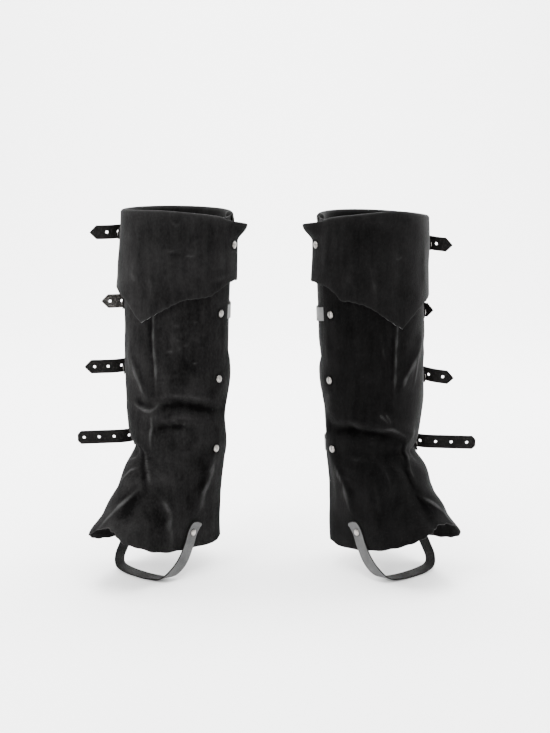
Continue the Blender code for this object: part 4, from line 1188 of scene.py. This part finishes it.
def tail_points(seat, length, drop):
    """The free tail: it climbs over the frame's near bar and bends away from the leg."""
    point = (FRAME_HALF_LENGTH, FRAME_LIFT + WIRE_RADIUS + CHAPE_WALL + STRAP_WALL / 2 + 3 * GAP)
    points = [seat.place(*point)]
    pieces = max(2, round(length / TAIL_STEP))
    for i in range(pieces):
        piece = length / pieces
        share = float(ease((i + 0.5) * piece / TAIL_BEND))
        heading = TAIL_RISE + (TAIL_TURN - TAIL_RISE) * share
        point = (point[0] + piece * math.cos(heading), point[1] + piece * math.sin(heading))
        points.append(seat.place(*point, drop * (i + 1) / pieces))
    up = Vector((0, 0, STRAP_WIDTH / 2))
    return [(point, up) for point in points]


def strap_route(side, number, seat):
    """The strap's band, from under the inner edge to the tip of its tail."""
    rivet, buckle, tip, tail, *_ = STRAPS[side][number]
    last = 360 + seat.angle - STRAP_LEAVES
    stations = []
    for i in range(STRAP_STATIONS + 1):
        share = i / STRAP_STATIONS
        turn = STRAP_START + (last - STRAP_START) * share
        dip = STRAP_DIPS[number] * float(ease((turn - 92) / 40) * ease((200 - turn) / 60))
        stations.append(seat.carrier.strap_line(turn, rivet + (buckle - rivet) * share - dip))
    up = Vector((0, 0, STRAP_WIDTH / 2))
    under_bar = FRAME_LIFT - WIRE_RADIUS - 2 * GAP - STRAP_WALL / 2
    stations.append((seat.place(-FRAME_HALF_LENGTH, under_bar), up))
    stations.append((seat.place(0, FRAME_LIFT + 0.0008), up))
    return stations + tail_points(seat, tail, tip - buckle)


def band_mesh(name, band, wall, flip):
    """A strap through a band's stations, with rounded edges and a material for each face."""
    rings = []
    for k, (middle, up) in enumerate(band):
        before, after = band[max(k - 1, 0)][0], band[min(k + 1, len(band) - 1)][0]
        half = up.length
        out = (after - before).cross(up).normalized() * (-1 if flip else 1)
        rise = up.normalized()
        inset = min(BAND_CORNER, half * 0.4)
        ring = []
        for face in (-1, 1):
            levels = [half - inset] + [half * s for s in (0.5, 0.0, -0.5)] + [inset - half]
            if face > 0:
                levels.reverse()
            edge = -half if face < 0 else half
            ring += [middle + out * (face * wall / 2) + rise * level for level in levels]
            ring += [middle + out * (face * (wall / 2 - BAND_CORNER)) + rise * edge]
            ring += [middle - out * (face * (wall / 2 - BAND_CORNER)) + rise * edge]
        rings.append(ring)
    count = len(rings[0])
    return lofted_mesh(name, rings, BAND_SHARP, reverse=range(count // 2, count - 3))


def shaped_tip(band, blunt):
    """The band cut short at its shoulder and drawn in to its tip."""
    lengths = band_lengths(band)
    length = BLUNT_LENGTH if blunt else POINT_LENGTH
    end_half = BLUNT_HALF if blunt else TIP_HALF
    full = STRAP_WIDTH / 2
    shaped = [s for s, at in zip(band, lengths) if at < lengths[-1] - length - TIP_CLEAR]
    for share in (0.0, 0.2, 0.4, 0.6, 0.8, 0.93, 1.0):
        middle, up = band_at(band, lengths, lengths[-1] - length * (1 - share))
        half = full + (end_half - full) * share
        if share > 0.9:
            half -= TIP_ROUND
        shaped.append((middle, up.normalized() * half))
    return shaped


def punched(mesh, centres, materials):
    """The mesh with round holes punched through it; both its sides keep their finish."""
    for material in materials:
        mesh.materials.append(material)
    shape = bmesh.new()
    for centre, across in centres:
        turn = across.to_track_quat("Z", "Y").to_matrix().to_4x4()
        bmesh.ops.create_cone(
            shape, cap_ends=True, segments=28, radius1=HOLE_RADIUS, radius2=HOLE_RADIUS,
            depth=STRAP_WALL * 3, matrix=Matrix.Translation(centre) @ turn,
        )
    punch_mesh = bpy.data.meshes.new("punch")
    shape.to_mesh(punch_mesh)
    shape.free()
    punch = put_in_scene("punch", punch_mesh)
    blank = put_in_scene("blank", mesh)
    cut = blank.modifiers.new("holes", "BOOLEAN")
    cut.operation = "DIFFERENCE"
    cut.solver = "EXACT"
    cut.object = punch
    shaped = bpy.data.meshes.new_from_object(
        blank.evaluated_get(bpy.context.evaluated_depsgraph_get()))
    for item in (punch, blank):
        bpy.data.objects.remove(item, do_unlink=True)
    shaped.set_sharp_from_angle(angle=math.radians(BAND_SHARP))
    return shaped


def dress_strap(side, number, seat, finishes):
    """One strap, black towards the leg and grey on its reverse, with its tip and its holes."""
    _, _, _, _, first_hole, pitch, _, blunt = STRAPS[side][number]
    band = smooth_band(strap_route(side, number, seat), STRAP_FINE_STEP)
    lengths = band_lengths(band)
    centres = []
    for k in range(HOLE_COUNT):
        distance = lengths[-1] - first_hole - pitch * k
        centre, up = band_at(band, lengths, distance)
        ahead, _ = band_at(band, lengths, distance + 0.001)
        centres.append((centre, (ahead - centre).cross(up).normalized()))
    name = f"{side}_strap_{number + 1}_leather"
    mesh = band_mesh(name, shaped_tip(band, blunt), STRAP_WALL, SIDES[side] > 0)
    finish = "sheen_painted_strap" if (side, number) == SHEEN_PAINTED_STRAP else "strap"
    mesh = punched(mesh, centres, finishes[finish])
    mesh.name = name
    new_piece(name, mesh, (), "strap_leather", f"{side}_strap_{number + 1}")


def tube_mesh(name, points, radii, closed):
    """A round wire through points, with a radius at each."""
    rings = []
    count = len(points)
    normal = None
    for k, point in enumerate(points):
        before = points[k - 1] if closed or k else points[0]
        after = points[(k + 1) % count] if closed or k < count - 1 else points[-1]
        heading = (after - before).normalized()
        if normal is None:
            normal = heading.orthogonal().normalized()
        normal = (normal - heading * normal.dot(heading)).normalized()
        side = heading.cross(normal)
        ring = []
        for i in range(WIRE_FACETS):
            turn = 2 * math.pi * i / WIRE_FACETS
            ring.append(point + (normal * math.cos(turn) + side * math.sin(turn)) * radii[k])
        rings.append(ring)
    return lofted_mesh(name, rings, WIRE_SHARP, closed)


def dress_buckle(side, number, seat, metals):
    """The wire frame with round corners, and the prong, which tapers to its resting tip."""
    rim = []
    for quarter, (end, top) in enumerate(((1, 1), (-1, 1), (-1, -1), (1, -1))):
        along = end * (FRAME_HALF_LENGTH - FRAME_CORNER)
        up = top * (FRAME_HALF_HEIGHT - FRAME_CORNER)
        for k in range(8):
            turn = math.radians(90 * quarter + 90 * k / 7)
            rim.append(seat.place(
                along + FRAME_CORNER * math.cos(turn), FRAME_LIFT,
                up + FRAME_CORNER * math.sin(turn),
            ))
    name = f"{side}_buckle_{number + 1}_frame"
    mesh = tube_mesh(name, rim, [WIRE_RADIUS] * len(rim), True)
    new_piece(name, mesh, metals[:1], "nickel", f"{side}_buckle_{number + 1}")
    rest = WIRE_RADIUS + PRONG_RADIUS + GAP
    bends = [
        # along the strap, out from the frame
        (FRAME_HALF_LENGTH - WIRE_RADIUS - CHAPE_WALL - 3 * GAP, -0.0003),
        (0.0048, -0.0007), (0.0022, -0.0006), (0.0004, 0.0012), (-0.0016, rest + 0.0006),
        (-0.0050, rest + 0.0008), (-FRAME_HALF_LENGTH - 0.0002, rest),
        (-FRAME_HALF_LENGTH - 0.0020, rest - 0.0002),
    ]
    points = [seat.place(along, FRAME_LIFT + out) for along, out in bends]
    radii = [PRONG_RADIUS] * (len(points) - 1) + [PRONG_RADIUS * 0.6]
    name = f"{side}_prong_{number + 1}_pin"
    mesh = tube_mesh(name, points, radii, False)
    piece = new_piece(name, mesh, metals[:1], "nickel", f"{side}_prong_{number + 1}")
    smooth = piece.modifiers.new("smooth", "SUBSURF")
    smooth.levels = 1
    smooth.render_levels = 1


def dress_chape(side, number, seat, finishes):
    """The short strap looped round the buckle's near bar, grey side out, with its rivet."""
    angle, height = seat.angle, seat.height
    near = CHAPE_WALL / 2 + 3 * GAP
    far_layer = near + CHAPE_WALL + GAP
    loop = WIRE_RADIUS + GAP + CHAPE_WALL / 2
    up = Vector((0, 0, CHAPE_WIDTH / 2))
    carrier = seat.carrier
    reaches = (CHAPE_REACH, CHAPE_REACH - 5, CHAPE_REACH - 10)
    stations = [carrier.leaning(angle + r, height, CHAPE_WIDTH / 2, near) for r in reaches]
    for turn in (270, 225, 180, 135, 90, 45):
        turned = math.radians(turn)
        stations.append((seat.place(
            FRAME_HALF_LENGTH + loop * math.cos(turned), FRAME_LIFT + loop * math.sin(turned),
        ), up))
    stations += [
        carrier.leaning(angle + r, height, CHAPE_WIDTH / 2, far_layer) for r in reversed(reaches)
    ]
    band = []
    for (middle, half_up), (after, after_up) in zip(stations, stations[1:]):
        band += [(middle.lerp(after, k / 3), half_up.lerp(after_up, k / 3)) for k in range(3)]
    band.append(stations[-1])
    name = f"{side}_chape_{number + 1}_leather"
    mesh = band_mesh(name, band, CHAPE_WALL, SIDES[side] > 0)
    new_piece(name, mesh, finishes["strap"], "strap_back", f"{side}_chape_{number + 1}")
    angle += CHAPE_REACH - CHAPE_RIVET_BACK
    place, _ = carrier.leaning(angle, height, CHAPE_WIDTH / 2, far_layer + CHAPE_WALL / 2 + GAP)
    _, direction = carrier.disc_seat(angle, height, HEAD_RADIUS, 0.0)
    name = f"{side}_chape_rivet_{number + 1}"
    dress_rivet(f"{name}_head", place, direction, finishes["metals"], name)


def dress_rivet(name, place, direction, metals, node):
    """A domed head turned from its profile, with a dark groove inside its rolled rim, partly tarnish
    and partly painted shade, and a dark flange round its foot, a painted shadow.
    """
    turn = Matrix.Translation(place) @ direction.to_track_quat("Z", "Y").to_matrix().to_4x4()
    shape = bmesh.new()
    crown = shape.verts.new(turn @ Vector((0, 0, HEAD_HEIGHT)))
    rings = []
    for radius, height in HEAD_PROFILE:
        rings.append([shape.verts.new(turn @ Vector((
            radius * HEAD_RADIUS * math.cos(2 * math.pi * k / HEAD_STEPS),
            radius * HEAD_RADIUS * math.sin(2 * math.pi * k / HEAD_STEPS), height * HEAD_HEIGHT,
        ))) for k in range(HEAD_STEPS)])
    for k in range(HEAD_STEPS):
        j = (k + 1) % HEAD_STEPS
        shape.faces.new((crown, rings[0][k], rings[0][j]))
        for band, (low, high) in enumerate(zip(rings, rings[1:])):
            face = shape.faces.new((low[k], high[k], high[j], low[j]))
            face.material_index = int(band in HEAD_DARK_BANDS)
    shape.faces.new(rings[-1])
    bmesh.ops.recalc_face_normals(shape, faces=shape.faces)
    new_piece(name, finished_mesh(name, shape), metals, "nickel", node)


def sheet_side(side, sign, forward, height):
    """How far out the sheet's outer face lies beside a point on its foot, inner side or outer."""
    start, front, *_, fullness = smooth_table(SECTIONS, height)
    angle = np.degrees(np.arccos(((forward - start) / front) ** (fullness / 2))) * sign
    _, across, *_ = outline(angle, height, fold_rise(side, angle, height) + SUEDE)
    return abs(float(across))


def dress_stirrup(side, finishes):
    """The stirrup strap under the instep, grey side out, with a rivet head at each end."""
    rows = []
    for sign, bends in ((1, STIRRUP_ROWS), (-1, STIRRUP_ROWS[-2::-1])):
        for forward, height, share, width_forward, width_up in bends:
            level = max(height, STIRRUP_HEM)
            ends = [
                sheet_side(side, sign, forward + step * width_forward, level + step * width_up)
                for step in (-STRAP_WIDTH / 2, 0, STRAP_WIDTH / 2)
            ]
            inward = sign * share * (max(ends) + STRAP_REST + STRAP_LOOSE + STRAP_WALL / 2)
            rows.append((float(len(rows)), forward, inward, height, width_forward, width_up))
    last = len(rows) - 1

    def station(key):
        forward, inward, height, share, rise = (float(v) for v in smooth_table(rows, key))
        size = STRAP_WIDTH / 2 / math.hypot(share, rise)
        low = Vector(to_world(side, forward - share * size, inward, height - rise * size))
        high = Vector(to_world(side, forward + share * size, inward, height + rise * size))
        return (low + high) / 2, (high - low) / 2

    band = [station(last * k / STIRRUP_FINE_STEPS) for k in range(STIRRUP_FINE_STEPS + 1)]
    lengths = band_lengths(band)
    rounded = []
    full = STRAP_WIDTH / 2
    for (middle, up), at in zip(band, lengths):
        from_end = min(at, lengths[-1] - at)
        inset = max(0.0, 1 - from_end / STIRRUP_CORNER)
        share = 1 - STIRRUP_CORNER / full * (1 - math.sqrt(1 - inset ** 2))
        away = level_direction(side, 0, 1 if at < lengths[-1] / 2 else -1)
        hook = STIRRUP_HOOK * max(0.0, 1 - from_end / STIRRUP_HOOK_LENGTH) ** 2
        rounded.append((middle + away * hook, up * share))
    name = f"{side}_stirrup_leather"
    mesh = band_mesh(name, rounded, STRAP_WALL, SIDES[side] < 0)
    new_piece(name, mesh, finishes["stirrup"], "strap_back", f"{side}_stirrup")
    for end, key, sign in (("inner", 1, 1), ("outer", last - 1, -1)):
        middle, up = station(key)
        heading = station(key + 0.5)[0] - station(key - 0.5)[0]
        direction = up.cross(heading).normalized()
        if direction.dot(level_direction(side, 0, sign)) < 0:
            direction.negate()
        place = middle + direction * (STRAP_WALL / 2 + 2 * GAP)
        node = f"{side}_stirrup_rivet_{end}"
        dress_rivet(f"{node}_head", place, direction, finishes["metals"], node)


def dress_cover(side, finishes):
    dress_shaft(side, finishes)
    dress_cuff(side, finishes)
    stitch_cuff(side, finishes["thread"])
    for number, row in enumerate(STRAPS[side]):
        carrier = Carrier(side, number)
        seat = BuckleSeat(side, carrier, row[6], row[1])
        dress_strap(side, number, seat, finishes)
        dress_buckle(side, number, seat, finishes["metals"])
        dress_chape(side, number, seat, finishes)
        place, direction = carrier.disc_seat(
            RIVET_ANGLES[side][number], row[0], HEAD_RADIUS, GAP)
        node = f"{side}_rivet_{number + 1}"
        dress_rivet(f"{node}_head", place, direction, finishes["metals"], node)
    dress_stirrup(side, finishes)


def set_stage():
    """A plain pale floor that curves up behind."""
    profile = [(-3.0, 0.0), (-1.0, 0.0), (1.0, 0.0), (CURVE_START, 0.0)]
    for k in range(10, 91, 10):
        turn = math.radians(k)
        up = CURVE_RADIUS - CURVE_RADIUS * math.cos(turn)
        profile.append((CURVE_START + CURVE_RADIUS * math.sin(turn), up))
    profile.append((2.4, 3.5))
    across = (-4.0, -2.0, 0.0, 2.0, 4.0)
    points = np.array([[(x, y, z - FLOOR_BELOW) for x in across] for y, z in profile])
    mesh = grid_mesh("floor", points, False)
    mesh.materials.append(plain_finish("pale_floor", grey(FLOOR_TONE), 0.6))
    floor = put_in_scene("floor", mesh)


def add_lamp(name, place, aim, size, power):
    data = bpy.data.lights.new(name, "AREA")
    data.shape = "RECTANGLE"
    data.size, data.size_y = size
    data.energy = power
    lamp = put_in_scene(name, data)
    lamp.location = place
    lamp.rotation_euler = (Vector(aim) - Vector(place)).to_track_quat("-Z", "Y").to_euler()


def set_lights():
    world = bpy.data.worlds.new("studio")
    bpy.context.scene.world = world
    world.use_nodes = True
    studio = world.node_tree.nodes["Background"].inputs
    studio["Color"].default_value = (1, 1, 1, 1)
    studio["Strength"].default_value = STUDIO_STRENGTH
    for lamp in LAMPS:
        add_lamp(*lamp)


def set_camera():
    data = bpy.data.cameras.new("camera")
    data.sensor_fit = "VERTICAL"
    data.sensor_height = SENSOR_HEIGHT
    data.lens = FOCAL_PIXELS / PICTURE_HEIGHT * SENSOR_HEIGHT
    camera = put_in_scene("camera", data)
    camera.location = CAMERA_PLACE
    camera.rotation_euler = (math.pi / 2 - CAMERA_DOWN, 0, 0)
    bpy.context.scene.camera = camera


set_camera()
set_stage()
set_lights()
suedes = {name: suede_finish(name, *values) for name, values in SUEDES.items()}
raw_edge = [suedes["suede_raw_edge"], suedes["suede_reverse_painted_shade"]]
hem_edge = [suedes["suede_hem_edge"], suedes["suede_reverse_painted_shade"]]
leather = grained_finish("black_grain", 0.022)
# A lighter copy of the grain, speckled pale, paints the sheen of light on one strap.
sheen_painted_leather = grained_finish("black_grain_sheen_painted", 0.160)
# Two copies of the one grey reverse, each set to the light it gets: the straps' lighter, the stirrup's
# darker.
reverse = reverse_finish("grey_reverse", 0.030, 0.085)
stirrup_reverse = reverse_finish("grey_reverse_stirrup", 0.026, 0.074)
nickel = nickel_finish("nickel_plate", 0.22, 0.39)
tarnish_and_shadow = nickel_finish("nickel_tarnish_and_shadow", 0.006, 0.020)
cover_finishes = {
    "thread": thread_finish("black_thread"),
    "left_shaft": [suedes["black_suede_left"]] + hem_edge,
    "left_cuff": [suedes["black_suede_left_cuff"]] + raw_edge,
    "right_shaft": [suedes["black_suede_right"]] + hem_edge,
    "right_cuff": [suedes["black_suede_right_cuff"]] + raw_edge,
    "strap": [leather, reverse],
    "sheen_painted_strap": [sheen_painted_leather, reverse],
    "stirrup": [leather, stirrup_reverse],
    "metals": [nickel, tarnish_and_shadow],
}
for cover_side in SIDES:
    dress_cover(cover_side, cover_finishes)
